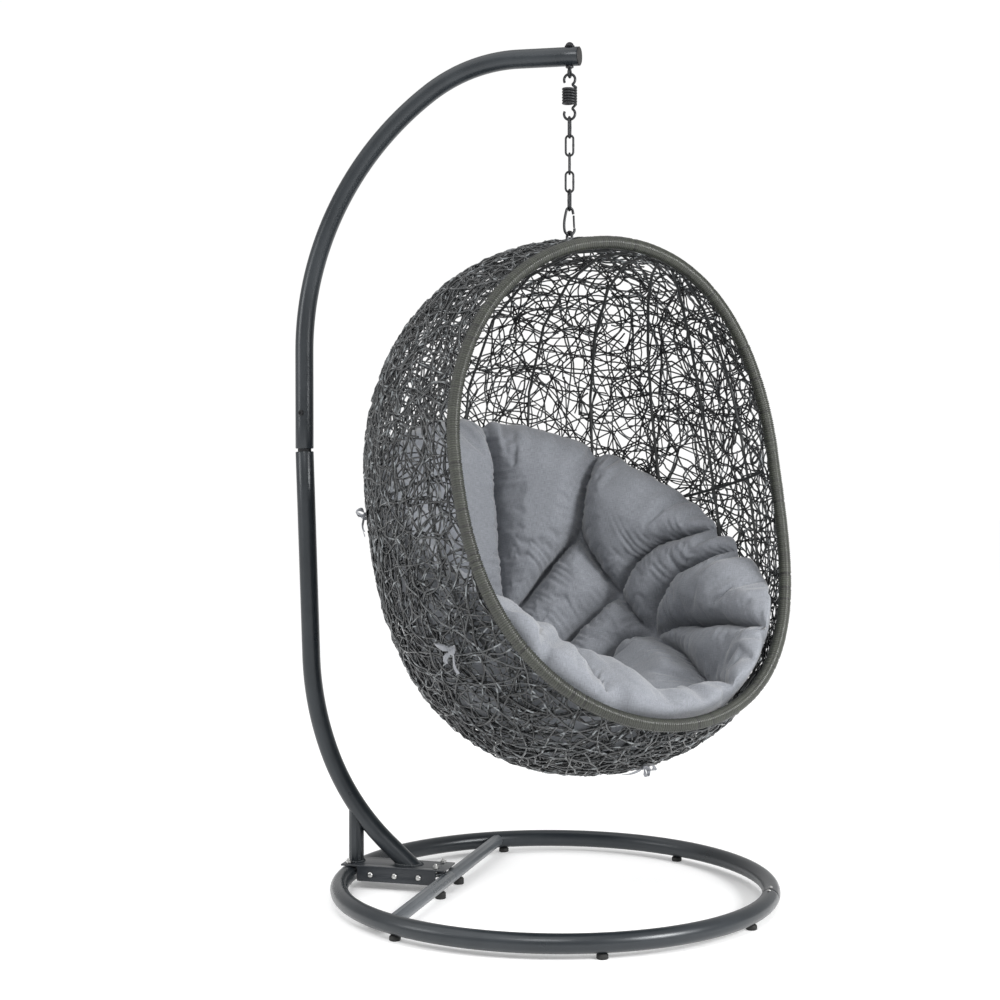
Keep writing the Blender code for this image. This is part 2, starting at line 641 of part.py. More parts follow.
def ringed_mesh(name, rings, mat):
    """Skin over rings of egg points: a ring of one point closes to a pole."""
    bm = bmesh.new()
    rows = [[bm.verts.new(to_basket(p)) for p in ring] for ring in rings]
    for row, following in zip(rows, rows[1:]):
        for i in range(max(len(row), len(following))):
            corners = []
            for vert in (row[i % len(row)], following[i % len(following)],
                         following[(i + 1) % len(following)], row[(i + 1) % len(row)]):
                if vert not in corners:
                    corners.append(vert)
            bm.faces.new(corners)
    return mesh_object(name, bm, mat)


# ---------------------------------------------------------------- basket
RIM_STEPS = 42


def rim_line():
    return [to_basket(rim_point(360 * i / RIM_STEPS)) for i in range(RIM_STEPS)]


def make_rim():
    """The steel hoop round the mouth, and the wicker sleeve wound on it."""
    hang_basket_piece(rod("rim_hoop", rim_line(), RIM_TUBE_R, FRAME_PAINT, cyclic=True))
    line = rim_line()
    start = line[0].lerp(line[1], 0.02)
    end = line[0].lerp(line[-1], 0.02)
    wrap = as_mesh(wire("rim_wrap", [start, *line[1:], end], WRAP_R, RIM_WICKER, sides_level=2,
                        caps=False))
    shell = wrap.modifiers.new("wall", "SOLIDIFY")
    shell.thickness = WRAP_R - RIM_TUBE_R - 3 * GAP
    shell.offset = -1.0
    hang_basket_piece(wrap)


def clear_of_rim(target, margin):
    """How far along the way from a rim direction to the pole a point clears the rim."""
    rim, pole = target
    start = egg_hit(Vector(), rim)
    low, high = 0.0, 0.5
    for _ in range(30):
        middle = (low + high) / 2
        here = egg_hit(Vector(), slerp(rim, pole, middle))
        if (here - start).length < margin:
            low = middle
        else:
            high = middle
    return high


def make_skin():
    """The woven shell: the egg behind the mouth, with a slot for the loop."""
    pole = Vector((0, -1, 0.12)).normalized()
    fractions = (0.10, 0.22, 0.34, 0.46, 0.58, 0.69, 0.79, 0.88, 0.95, 1.0)
    rings = [[egg_hit(Vector(), pole)]]
    columns = []
    for i in range(RIM_STEPS):
        rim = rim_point(360 * i / RIM_STEPS).normalized()
        columns.append((rim, 1 - clear_of_rim((rim, pole), WRAP_R + 0.0015)))
    for fraction in fractions:
        rings.append([egg_hit(Vector(), slerp(pole, rim, fraction * reach))
                      for rim, reach in columns])
    skin = ringed_mesh("basket_weave", rings, WICKER)
    shell = skin.modifiers.new("thickness", "SOLIDIFY")
    shell.thickness = SKIN
    shell.offset = -1.0
    hang_basket_piece(skin)
    slot = box("loop_slot", (-0.009, -0.022, -0.12), (0.009, 0.022, 0.06), WICKER, CUTTERS)
    hang_basket_piece(slot)
    return boolean(smooth(skin), slot, "DIFFERENCE")


def rib_line(fan, spread, count=12):
    """One rib from the top of the rim to its foot, round the back at the given fan angle."""
    depth = SKIN + RIB_R + FLATS
    top, foot = rim_point(spread), rim_point(180 - spread)
    middle = (top + foot) / 2
    up = (top - foot).normalized()
    turn = math.radians(fan)
    out = Vector((math.sin(turn), -math.cos(turn), 0))
    out = (out - up * out.dot(up)).normalized()

    def at(degrees):
        angle = math.radians(degrees)
        hit = egg_hit(middle, up * math.cos(angle) + out * math.sin(angle))
        return inset_point(hit, depth)

    start = next(a / 4 for a in range(1, 80) if (at(a / 4) - top).length > RIB_END)
    end = next(180 - a / 4 for a in range(1, 80) if (at(180 - a / 4) - foot).length > RIB_END)
    return [to_basket(at(start + (end - start) * i / count)) for i in range(count + 1)]


def hoop_line(h):
    """A level hoop at the ribs' depth, from one side of the mouth round the back."""
    across = mouth(h) * EGG_HALF_W / EGG_HALF_D
    side = math.sqrt(egg_radius(h) ** 2 - across ** 2)
    limit = math.degrees(math.atan2(side, -mouth(h))) - 3.5
    points = []
    for i in range(19):
        angle = math.radians(limit * (i / 9 - 1))
        hit = egg_hit(Vector((0, 0, h)), Vector((math.sin(angle), -math.cos(angle), 0)))
        points.append(to_basket(inset_point(hit, SKIN + RIB_R + FLATS)))
    return points


def make_cage():
    """The welded cage under the weave: ribs from the top to the foot of the mouth, two hoops."""
    rods = [rod("rib", rib_line(0.0, 0.0), RIB_R, FRAME_PAINT)]
    for i, fan in enumerate(RIB_FANS):
        for side in (1, -1):
            line = rib_line(side * fan, side * (5.0 + 4.2 * i))
            rods.append(rod("rib", line, RIB_R, FRAME_PAINT))
    for h in (WAIST_H, SEAT_H):
        rods.append(rod("hoop", hoop_line(h), HOOP_R, FRAME_PAINT))
    hang_basket_piece(smooth(joined("basket_cage", rods, FRAME_PAINT)))


def make_loop():
    """The U staple on the centre rib that the carabiner holds."""
    foot_z = []
    line = rib_line(0.0, 0.0)
    for y in (-LOOP_HALF, LOOP_HALF):
        near = min(line, key=lambda p: abs(p.y - y) + (0 if p.z > -0.3 else 9))
        foot_z.append(near.z + RIB_R + 0.0012)
    bend = arc((0, 0, -LOOP_HALF), LOOP_HALF, 0, 180, 8, ALONG_Y, ALONG_Z)
    points = [Vector((0, LOOP_HALF, foot_z[1])), *bend, Vector((0, -LOOP_HALF, foot_z[0]))]
    hang_basket_piece(rod("basket_loop", points, LOOP_WIRE_R, BLACK_STEEL))


# ---------------------------------------------------------------- seat pad
def pad_allows(p):
    below = p.z < PAD_TOP_BACK - PAD_SLOPE * (p.y + 0.43)
    return below and p.y < mouth(p.z) - PAD_MARGIN


def make_pad():
    """The seat pad: a thick bowl against the ribs, up the back and forward to the mouth."""
    pole = Vector((0, -0.55, -0.55)).normalized()
    side = Vector((1, 0, 0))
    other = pole.cross(side)
    columns = []
    for i in range(28):
        turn = 2 * math.pi * i / 28
        away = side * math.cos(turn) + other * math.sin(turn)
        low, high = 0.2, 2.9
        for _ in range(30):
            middle = (low + high) / 2
            here = egg_hit(Vector(), pole * math.cos(middle) + away * math.sin(middle))
            if pad_allows(here):
                low = middle
            else:
                high = middle
        columns.append((away, low))
    back, front = [], []
    for fraction in (0.0, 0.25, 0.5, 0.7, 0.85, 0.95, 1.0):
        full = math.sqrt(1 - fraction ** 8)
        back_depth = PAD_INSET + PAD_EDGE * (1 - full)
        front_depth = PAD_INSET + PAD_EDGE + (PAD_THICK - PAD_EDGE) * full
        back_ring, front_ring = [], []
        for away, reach in columns if fraction > 0 else columns[:1]:
            angle = reach * fraction
            hit = egg_hit(Vector(), pole * math.cos(angle) + away * math.sin(angle))
            back_ring.append(inset_point(hit, back_depth))
            front_ring.append(inset_point(hit, front_depth))
        back.append(back_ring)
        front.append(front_ring)
    pad = ringed_mesh("seat_pad", front + back[-2::-1], FABRIC)
    hang_basket_piece(smooth(pad, 60))


# ---------------------------------------------------------------- build
def build():
    halves = make_ring_halves()
    front, back = make_ring_couplers(halves)
    bars = make_crossbar(halves)
    make_feet()
    shoe, channel = make_shoe()
    make_side_bolts(shoe, channel)
    make_corner_bolts(shoe, halves, bars, back)
    upper, lower, spigot = make_mast()
    make_mast_bolt(upper, spigot)
    make_arm_end(upper)
    make_spring()
    make_chain()
    make_carabiner()
    make_rim()
    make_skin()
    make_cage()
    make_loop()
    make_pad()
    for obj in [*PARTS.objects, *CUTTERS.objects]:
        obj.matrix_world = Matrix.Translation((RING_X, RING_Y, 0)) @ obj.matrix_world


build()
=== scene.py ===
"""Hanging egg chair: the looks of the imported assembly.  Metres, +Z up, floor at z = 0.

The basket's surface maths repeats the CAD source: egg points are (side, forward, up) from the
egg's centre, and a basket point is placed on the hang axis and turned to the rest yaw."""
import json
import math
import random

import bmesh
import bpy
import numpy as np
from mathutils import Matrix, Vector, noise


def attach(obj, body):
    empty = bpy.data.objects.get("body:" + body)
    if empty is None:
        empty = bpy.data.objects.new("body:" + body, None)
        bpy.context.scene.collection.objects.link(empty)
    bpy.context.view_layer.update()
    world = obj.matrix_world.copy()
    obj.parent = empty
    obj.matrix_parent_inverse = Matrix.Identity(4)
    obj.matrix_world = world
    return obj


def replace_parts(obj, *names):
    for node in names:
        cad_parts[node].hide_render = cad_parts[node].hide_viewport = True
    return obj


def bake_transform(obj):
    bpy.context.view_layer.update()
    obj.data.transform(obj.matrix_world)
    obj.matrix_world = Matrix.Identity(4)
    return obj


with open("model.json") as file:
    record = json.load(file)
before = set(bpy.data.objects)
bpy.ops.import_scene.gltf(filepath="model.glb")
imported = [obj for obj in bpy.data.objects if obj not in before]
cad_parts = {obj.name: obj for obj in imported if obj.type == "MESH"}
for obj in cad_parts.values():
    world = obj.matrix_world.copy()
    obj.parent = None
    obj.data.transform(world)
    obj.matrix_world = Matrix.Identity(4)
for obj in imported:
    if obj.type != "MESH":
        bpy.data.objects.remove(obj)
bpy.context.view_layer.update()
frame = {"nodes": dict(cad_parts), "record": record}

# ---------------- dimensions shared with the CAD
RING_X = 0.0525
RING_R, RING_TUBE_R, RING_Z = 0.4925, 0.0206, 0.0324
GAP = 0.0003
MAST_R, MAST_X, JOINT_Z, NECK_GAP = 0.0215, -0.6127, 1.0313, 0.007
UPPER_BENDS = ((0.2298, 0.0), (0.6986, 55.4), (0.229, 35.4), (0.1405, 0.0))
LOWER_BENDS = ((0.4882, 0.0), (0.2294, 19.2), (0.2609, 27.4), (0.0900, 0.0))
LOWER_TILT = 1.87
SHOE_TOP = 0.0575
STRUT_X, STRUT_WELD_R = -0.4830, 0.0182
RING_LIP, MAST_LIP = 0.0012, 0.0016    # rounding of the tubes' cut ends
HANG = Vector((0.0343 + RING_X, 0.0, 0.0))
YAW = math.radians(47.0)
EGG_TILT = math.radians(11.7)
EGG_FORWARD, EGG_Z = 0.017, 0.9813
EGG_HALF_W, EGG_HALF_D = 0.457, 0.523
EGG_UP, EGG_DOWN = (0.5105, 2.0, 2.35), (0.680, 2.875, 2.04)   # height and two exponents
MOUTH = (0.196, 0.014, 0.300)
MOUTH_MID = -0.09
EGG_BEYOND = 1.6                     # a reach that is outside the egg in every direction
WRAP_R = 0.0140

ALONG_X, ALONG_Y, ALONG_Z = Vector((1, 0, 0)), Vector((0, 1, 0)), Vector((0, 0, 1))


# ---------------- egg surface, on numpy arrays
def egg_radius(h):
    """Half width of the egg at a height above its centre."""
    reach, n, m = [np.where(h > 0, above, below) for above, below in zip(EGG_UP, EGG_DOWN)]
    rest = np.clip(1.0 - np.abs(h / reach) ** n, 0.0, None)
    return EGG_HALF_W * rest ** (1.0 / m)


def inside_egg(p):
    round_back = p[..., 0] ** 2 + (p[..., 1] * EGG_HALF_W / EGG_HALF_D) ** 2
    return round_back < egg_radius(p[..., 2]) ** 2


def furthest(low, high, allowed, halvings):
    """The longest reach between low and high that is still allowed, for each element."""
    for _ in range(halvings):
        middle = (low + high) / 2
        good = allowed(middle)
        low = np.where(good, middle, low)
        high = np.where(good, high, middle)
    return low


def egg_hit(directions):
    """Where rays from the egg's centre meet it."""
    nearest = np.zeros(directions.shape[:-1])
    reach = furthest(nearest, nearest + EGG_BEYOND,
                     lambda middle: inside_egg(directions * middle[..., None]), 34)
    return directions * reach[..., None]


def unit(v):
    return v / np.linalg.norm(v, axis=-1, keepdims=True)


def outward(p):
    """Unit normals out of the egg at surface points."""
    d = unit(p)
    side = unit(np.cross(d, np.array([0.31, 0.52, 0.79])))
    other = np.cross(d, side)
    a = egg_hit(unit(d + side * 0.004)) - egg_hit(d)
    b = egg_hit(unit(d + other * 0.004)) - egg_hit(d)
    normal = unit(np.cross(a, b))
    return np.where((normal * d).sum(-1, keepdims=True) < 0, -normal, normal)


def mouth(h):
    return MOUTH[0] + MOUTH[1] * h + MOUTH[2] * h * h


def rim_points(angles):
    """Rim centreline at angles (radians) from the top of the mouth."""
    def place(reach):
        h = MOUTH_MID + reach * np.cos(angles)
        return np.stack([reach * np.sin(angles), mouth(h), h], -1)

    low = np.zeros_like(angles)
    return place(furthest(low, low + 1.0, lambda middle: inside_egg(place(middle)), 40))


def to_world(p):
    """Egg points to the row frame, with the basket at rest."""
    forward = EGG_FORWARD + p[..., 1] * math.cos(EGG_TILT) - p[..., 2] * math.sin(EGG_TILT)
    up = EGG_Z + p[..., 2] * math.cos(EGG_TILT) + p[..., 1] * math.sin(EGG_TILT)
    side = p[..., 0]
    x = HANG.x + side * math.cos(YAW) + forward * math.sin(YAW)
    y = HANG.y + side * math.sin(YAW) - forward * math.cos(YAW)
    return np.stack([x, y, up], -1)


# ---------------- mesh helpers
def linked(name, data):
    obj = bpy.data.objects.new(name, data)
    bpy.context.scene.collection.objects.link(obj)
    return obj


def mesh_piece(name, verts, faces, mat, body):
    """A smooth-shaded mesh of equal-sided faces that rides on a body."""
    verts, faces = np.asarray(verts, dtype=np.float64), np.asarray(faces, dtype=np.int32)
    mesh = bpy.data.meshes.new(name)
    mesh.vertices.add(len(verts))
    mesh.vertices.foreach_set("co", verts.ravel())
    mesh.loops.add(faces.size)
    mesh.loops.foreach_set("vertex_index", faces.ravel())
    mesh.polygons.add(len(faces))
    mesh.polygons.foreach_set("loop_start", np.arange(0, faces.size, faces.shape[1], dtype=np.int32))
    mesh.update(calc_edges=True)
    mesh.shade_smooth()
    mesh.materials.append(mat)
    obj = linked(name, mesh)
    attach(obj, body)
    return obj


def frames_along(points, cyclic=False):
    """Tangents and two steady cross directions at each point of a line."""
    if cyclic:
        tangents = unit(np.roll(points, -1, 0) - np.roll(points, 1, 0))
    else:
        tangents = unit(np.gradient(points, axis=0))
    u = np.empty_like(points)
    current = np.array([0.0, 0.0, 1.0]) if abs(tangents[0][2]) < 0.9 else np.array([1.0, 0.0, 0.0])
    for i, t in enumerate(tangents):
        current = current - t * (current @ t)
        current = current / math.sqrt(current @ current)
        u[i] = current
    if cyclic:
        end = u[-1] - tangents[0] * (u[-1] @ tangents[0])
        end = unit(end)
        twist = math.atan2(end @ np.cross(tangents[0], u[0]), end @ u[0])
        for i in range(len(points)):
            a = -twist * i / len(points)
            v = np.cross(tangents[i], u[i])
            u[i] = math.cos(a) * u[i] + math.sin(a) * v
    return tangents, u, np.cross(tangents, u)


def tube_mesh(points, radius, sides, cyclic=False, caps=True):
    """Vertices and quads of a round tube; radius may vary along the line."""
    points = np.asarray(points, dtype=float)
    _, u, v = frames_along(points, cyclic)
    radius = np.broadcast_to(np.asarray(radius, dtype=float), (len(points),))
    turns = np.arange(sides) * 2 * np.pi / sides
    around = np.cos(turns)[None, :, None] * u[:, None] + np.sin(turns)[None, :, None] * v[:, None]
    verts = (points[:, None] + around * radius[:, None, None]).reshape(-1, 3)
    rows = len(points) if cyclic else len(points) - 1
    i, j = np.meshgrid(np.arange(rows), np.arange(sides), indexing="ij")
    near, far, beside = i * sides, (i + 1) % len(points) * sides, (j + 1) % sides
    quads = np.stack([near + j, near + beside, far + beside, far + j], -1).reshape(-1, 4)
    if caps and not cyclic:
        quads = closed_ends(quads, len(points), sides)
    return verts, quads


def closed_ends(quads, rows, sides):
    """Quads over both ends of a tube with an even number of sides."""
    k = np.arange(sides // 2 - 1)
    end = np.stack([k, k + 1, sides - 2 - k, sides - 1 - k], -1)
    return np.concatenate([quads, end[:, ::-1], end + (rows - 1) * sides])


def wire_piece(name, points, radii, sides, body, replaced, cyclic=False):
    """A black round wire in place of one CAD node."""
    verts, quads = tube_mesh(points, radii, sides, cyclic)
    wire = mesh_piece(name, verts, quads, BLACK_STEEL, body)
    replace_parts(wire, replaced)
    return wire


def coated_piece(name, points, radii, sides, cyclic=False):
    """A round piece of the stand, in its powder coat."""
    verts, quads = tube_mesh(points, radii, sides, cyclic)
    piece = mesh_piece(name, verts, quads, STAND, "stand")
    piece.data.set_sharp_from_angle(angle=math.radians(40))
    return piece


def arc(centre, radius, start, end, count, up=ALONG_Z):
    """Points on an arc in the plane of X and another axis, its angles in degrees from X."""
    angles = np.radians(np.linspace(start, end, count + 1))[:, None]
    around = np.cos(angles) * np.array(ALONG_X) + np.sin(angles) * np.array(up)
    return np.array(centre) + radius * around


# ---------------- materials
class Nodes:
    """Short calls for building one material's node tree."""

    def __init__(self, name, roughness, metallic=0.0):
        self.mat = bpy.data.materials.new(name)
        self.mat.use_nodes = True
        self.tree = self.mat.node_tree
        self.shader = self.tree.nodes["Principled BSDF"]
        self.shader.inputs["Roughness"].default_value = roughness
        self.shader.inputs["Metallic"].default_value = metallic
        self.coords = self.tree.nodes.new("ShaderNodeTexCoord")

    def put(self, socket, value):
        """Link the socket to another one, or give it a constant; colours may leave out alpha."""
        if isinstance(value, bpy.types.NodeSocket):
            self.tree.links.new(value, socket)
        else:
            socket.default_value = (*value, 1.0) if socket.type == "RGBA" else value

    def node(self, kind, output, inputs, **settings):
        """A new node with these inputs and settings; the result is one of its outputs."""
        node = self.tree.nodes.new("ShaderNode" + kind)
        for key, value in settings.items():
            setattr(node, key, value)
        for key, value in inputs.items():
            self.put(node.inputs[key], value)
        return node.outputs[output]

    def stretched(self, scale, source="Object"):
        return self.node("Mapping", "Vector", {"Vector": self.coords.outputs[source], "Scale": scale})

    def noise(self, scale, detail=3.0, rough=0.55, vector=None):
        return self.node("TexNoise", "Fac", {"Vector": vector or self.coords.outputs["Object"],
                                             "Scale": scale, "Detail": detail, "Roughness": rough})

    def attribute(self, name):
        return self.node("Attribute", "Fac", {}, attribute_name=name)

    def remap(self, value, low, high, out_low, out_high):
        return self.node("MapRange", "Result", {"Value": value, "From Min": low, "From Max": high,
                                                "To Min": out_low, "To Max": out_high})

    def math(self, operation, a, b):
        return self.node("Math", 0, {0: a, 1: b}, operation=operation)

    def blend(self, factor, a, b):
        return self.node("Mix", 2, {"Factor": factor, 6: a, 7: b}, data_type="RGBA")

    def bump(self, height, strength, distance, under=None):
        inputs = {"Height": height, "Strength": strength, "Distance": distance}
        if under is not None:
            inputs["Normal"] = under
        return self.node("Bump", "Normal", inputs)

    def finish(self, colour, roughness=None, normal=None):
        self.put(self.shader.inputs["Base Color"], colour)
        for key, socket in (("Roughness", roughness), ("Normal", normal)):
            if socket is not None:
                self.put(self.shader.inputs[key], socket)
        return self.mat


def powder_coat(name, dark, light, roughness):
    """Satin powder coat: fine orange peel, faint patches and a few paler scuffs."""
    n = Nodes(name, roughness, 0.25)
    peel = n.noise(900.0, 2.0, 0.5)
    patches = n.noise(7.0, 4.0, 0.6)
    scuffs = n.remap(n.noise(60.0, 6.0, 0.75), 0.66, 0.74, 0.0, 0.35)
    colour = n.blend(n.remap(patches, 0.35, 0.65, 0.0, 1.0), dark, light)
    colour = n.blend(scuffs, colour, tuple(c * 1.7 for c in light))
    rough = n.remap(patches, 0.3, 0.7, roughness - 0.05, roughness + 0.07)
    n.shader.inputs["Coat Weight"].default_value = 0.15
    n.shader.inputs["Coat Roughness"].default_value = 0.25
    return n.finish(colour, rough, n.bump(peel, 0.22, 0.0004))


def plated_steel(name, tone, roughness):
    """Bright plated steel with fine scratches and darker spots."""
    n = Nodes(name, roughness, 1.0)
    scratch = n.noise(260.0, 4.0, 0.7, n.stretched((1.0, 1.0, 6.0)))
    spots = n.remap(n.noise(420.0, 3.0, 0.6), 0.58, 0.72, 0.0, 0.6)
    colour = n.blend(spots, tone, tuple(c * 0.45 for c in tone))
    rough = n.remap(scratch, 0.3, 0.7, roughness - 0.08, roughness + 0.14)
    return n.finish(colour, rough, n.bump(scratch, 0.12, 0.0002))


def black_hardware(name):
    """Black-coated steel, worn a little where parts rub."""
    n = Nodes(name, 0.36, 0.55)
    wear_and_painted_glint = n.remap(n.noise(140.0, 5.0, 0.7), 0.60, 0.72, 0.0, 0.45)
    colour = n.blend(wear_and_painted_glint, (0.020, 0.021, 0.023), (0.10, 0.10, 0.105))
    rough = n.remap(n.noise(300.0, 3.0), 0.3, 0.7, 0.28, 0.46)
    return n.finish(colour, rough, n.bump(n.noise(700.0, 2.0), 0.2, 0.0002))


def black_rubber(name):
    n = Nodes(name, 0.72)
    dust = n.remap(n.noise(45.0, 5.0, 0.7), 0.5, 0.75, 0.0, 0.5)
    colour = n.blend(dust, (0.011, 0.011, 0.011), (0.05, 0.05, 0.048))
    rough = n.remap(dust, 0.0, 0.5, 0.62, 0.85)
    return n.finish(colour, rough, n.bump(n.noise(500.0, 3.0), 0.3, 0.0003))


def wicker(name, dark, light, roughness, grain, glint):
    """Extruded resin wicker: each strand has its own tone and lengthwise grain, with short pale spots
    painted on as glints.
    """
    n = Nodes(name, roughness)
    colour = n.blend(n.attribute("tone"), dark, light)
    streak = n.noise(1.0, 3.0, 0.6, n.stretched(grain, "UV"))
    colour = n.blend(n.remap(streak, 0.35, 0.7, 0.0, 0.45), colour, tuple(c * 0.5 for c in dark))
    # painted glints: short pale spots that stand in for highlights where a strand catches the light
    wear_and_painted_glint = n.noise(1.0, 1.0, 0.5, n.stretched((48.0, 60.0, 1.0), "UV"))
    colour = n.blend(n.remap(wear_and_painted_glint, 0.58, 0.68, 0.0, glint), colour, tuple(c * 4.0 for c in light))
    rough = n.remap(streak, 0.3, 0.7, roughness - 0.08, roughness + 0.12)
    n.shader.inputs["Coat Weight"].default_value = 0.35
    n.shader.inputs["Coat Roughness"].default_value = 0.14
    return n.finish(colour, rough, n.bump(streak, 0.35, 0.0003))


def heather_fabric(name, dark, mid, light):
    """Plain-weave melange cloth: threads 0.9 mm apart, each its own grey, with soft sheen."""
    n = Nodes(name, 0.88)
    cloth = {"Vector": n.coords.outputs["UV"], "Scale": 350.0, "Detail": 1.0, "Distortion": 0.6}
    warp, weft = [n.node("TexWave", "Fac", cloth, bands_direction=way) for way in "XY"]
    threads = n.math("MAXIMUM", warp, weft)
    warp_tone, weft_tone = [n.noise(1.0, 2.0, 0.6, n.stretched(scale, "UV"))
                            for scale in ((1100.0, 70.0, 1.0), (70.0, 1100.0, 1.0))]
    tone = n.math("MULTIPLY", n.math("ADD", warp_tone, weft_tone), 0.5)
    soft = n.noise(9.0, 3.0, 0.5)
    colour = n.blend(n.remap(tone, 0.36, 0.62, 0.0, 1.0), dark, light)
    colour = n.blend(0.35, colour, mid)
    colour = n.blend(n.remap(soft, 0.35, 0.65, 0.0, 0.16), colour, tuple(c * 0.85 for c in mid))
    colour = n.blend(n.remap(threads, 0.2, 0.75, 0.22, 0.0), colour, tuple(c * 0.45 for c in dark))
    fuzz = n.bump(n.noise(420.0, 4.0, 0.7), 0.25, 0.0004)
    weave = n.bump(threads, 0.30, 0.0003, fuzz)
    n.shader.inputs["Sheen Weight"].default_value = 0.35
    n.shader.inputs["Sheen Roughness"].default_value = 0.45
    n.shader.inputs["Specular IOR Level"].default_value = 0.25
    return n.finish(colour, n.remap(tone, 0.3, 0.7, 0.82, 0.95), weave)


STAND = powder_coat("stand_powder_coat", (0.016, 0.020, 0.024), (0.023, 0.028, 0.033), 0.30)
# Painted light: the crossbar's coat is a lighter copy of the stand's, as its top catches light from
# above.
LIT_BAR_COAT = powder_coat("bar_coat_painted_lighter", (0.080, 0.090, 0.100), (0.110, 0.122, 0.134), 0.30)
# Painted light: the shoe's coat is a lighter copy of the stand's, as its top plate catches light from
# above.
LIT_PLATE_COAT = powder_coat("plate_coat_painted_lighter", (0.020, 0.023, 0.027), (0.030, 0.034, 0.040), 0.32)
CAGE_COAT = powder_coat("cage_powder_coat", (0.018, 0.020, 0.021), (0.030, 0.033, 0.034), 0.5)
ZINC = plated_steel("zinc_plate", (0.56, 0.56, 0.55), 0.30)
BLACK_STEEL = black_hardware("black_hardware")
RUBBER = black_rubber("black_rubber")
STRAND = wicker("grey_wicker", (0.005, 0.006, 0.007), (0.062, 0.067, 0.070), 0.22,
                (25.0, 900.0, 1.0), 0.8)
RIM_WICKER = wicker("olive_wicker", (0.002, 0.002, 0.001), (0.032, 0.037, 0.024), 0.42,
                    (2600.0, 60.0, 1.0), 0.0)
TAPE = heather_fabric("tie_tape", (0.16, 0.165, 0.18), (0.24, 0.25, 0.27), (0.33, 0.34, 0.37))
FABRIC = heather_fabric("heather_fabric", (0.125, 0.134, 0.151), (0.202, 0.213, 0.236),
                        (0.312, 0.326, 0.353))


# ---------------- stand
WELD_R, WELD_STEPS = 0.0028, 150
SOFTENED = ("mast_shoe", "strut", "crossbar", "foot", "corner", "side_", "arm_", "mast_bolt", "mast_cap",
            "inner_channel", "ring_screw", "eye_bolt")


def paint_cad_nodes():
    """Give every CAD node that stays in view its detailed material."""
    coats = {"stand_paint": STAND, "zinc_steel": ZINC, "black_steel": BLACK_STEEL,
             "black_rubber": RUBBER, "basket_frame_paint": CAGE_COAT, "olive_wicker": RIM_WICKER,
             "grey_wicker": STRAND, "grey_fabric": FABRIC}
    slots = {part["node"]: part["material_slot"] for part in frame["record"]["subparts"]}
    for name, obj in frame["nodes"].items():
        obj.data.materials.clear()
        obj.data.materials.append(coats[slots[name]])
    # painted light: the crossbars take the lighter copy of the stand's coat
    for name in ("crossbar_near", "crossbar_far"):
        frame["nodes"][name].data.materials[0] = LIT_BAR_COAT
    # painted light: the shoe takes the lighter copy of the stand's coat
    frame["nodes"]["mast_shoe"].data.materials[0] = LIT_PLATE_COAT
    for name in frame["nodes"]:
        if name.startswith(SOFTENED):
            soften_edges(frame["nodes"][name])


def soften_edges(obj):
    """Rounded, evenly shaded edges on a CAD node."""
    weld = obj.modifiers.new("weld", "WELD")
    weld.merge_threshold = 0.00002
    bevel = obj.modifiers.new("edge", "BEVEL")
    bevel.width = 0.0006
    bevel.segments = 3
    bevel.limit_method = "ANGLE"
    bevel.angle_limit = math.radians(32)
    bevel.harden_normals = True
    obj.data.shade_smooth()


def bent_line(start, heading, bends, turn_sign, step=1.2):
    """Centreline in the XZ plane, as in the CAD source but finely divided."""
    x, z = start
    angle = math.radians(heading)
    points = [(x, 0.0, z)]
    for length, turn in bends:
        count = max(4, math.ceil(abs(turn) / step))
        for _ in range(count):
            half = math.radians(turn_sign * turn) / count / 2
            angle += half
            x += length / count * math.cos(angle)
            z += length / count * math.sin(angle)
            angle += half
            points.append((x, 0.0, z))
    return np.array(points) + np.array([RING_X, 0, 0])


def rounded_radius(points, radius, lip, ends=(True, True)):
    """Points and radii of a tube whose cut ends have a small rounded lip."""
    points, radii = list(points), [radius] * len(points)
    steps = ((0.0, radius - lip), (lip * 0.3, radius - lip * 0.3), (lip, radius))
    for rounded in ends:
        if rounded:
            inward_way = unit(points[1] - points[0])
            points[:1] = [points[0] + inward_way * distance for distance, _ in steps]
            radii[:1] = [r for _, r in steps]
        points, radii = points[::-1], radii[::-1]
    return np.array(points), np.array(radii)


def stand_tube(name, line, radius, sides, lip, ends=(True, True)):
    """A tube of the stand in place of the CAD node of that name."""
    points, radii = rounded_radius(line, radius, lip, ends)
    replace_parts(coated_piece(f"{name}_tube", points, radii, sides), name)


def make_ring():
    for name, side in (("ring_half_near", -1), ("ring_half_far", 1)):
        line = arc((RING_X, 0, RING_Z), RING_R, side * 0.09, side * 179.95, 150, ALONG_Y)
        stand_tube(name, line, RING_TUBE_R, 40, RING_LIP)


def make_mast():
    """Both mast tubes, and the welds of the mast and the strut on the shoe."""
    line = bent_line((MAST_X, JOINT_Z + NECK_GAP / 2), 90, UPPER_BENDS, -1)
    stand_tube("mast_upper", line, MAST_R, 44, MAST_LIP)
    line = bent_line((MAST_X, JOINT_Z - NECK_GAP / 2), LOWER_TILT - 90, LOWER_BENDS, 1)
    stand_tube("mast_lower", line, MAST_R, 44, MAST_LIP, (True, False))
    weld_bead("mast_weld", line[-1], line[-1] - line[-2], MAST_R)
    weld_bead("strut_weld", np.array([STRUT_X + RING_X, 0.0, SHOE_TOP]), np.array([0.0, 0.0, -1.0]),
              STRUT_WELD_R)


def weld_bead(name, through, heading, radius):
    """A rippled fillet round a tube where it meets the top of the shoe."""
    heading = unit(heading)
    through = through - heading * ((through[2] - SHOE_TOP) / heading[2])
    long_half = radius / abs(heading[2])
    rng = random.Random(7)
    points, radii = [], []
    for i in range(WELD_STEPS):
        turn = 2 * math.pi * i / WELD_STEPS
        points.append((through[0] + long_half * math.cos(turn), through[1] + radius * math.sin(turn),
                       SHOE_TOP + 0.0006))
        radii.append(WELD_R + 0.0005 * math.sin(turn * 38) + rng.uniform(-0.0002, 0.0002))
    coated_piece(name, points, np.array(radii), 10, cyclic=True)


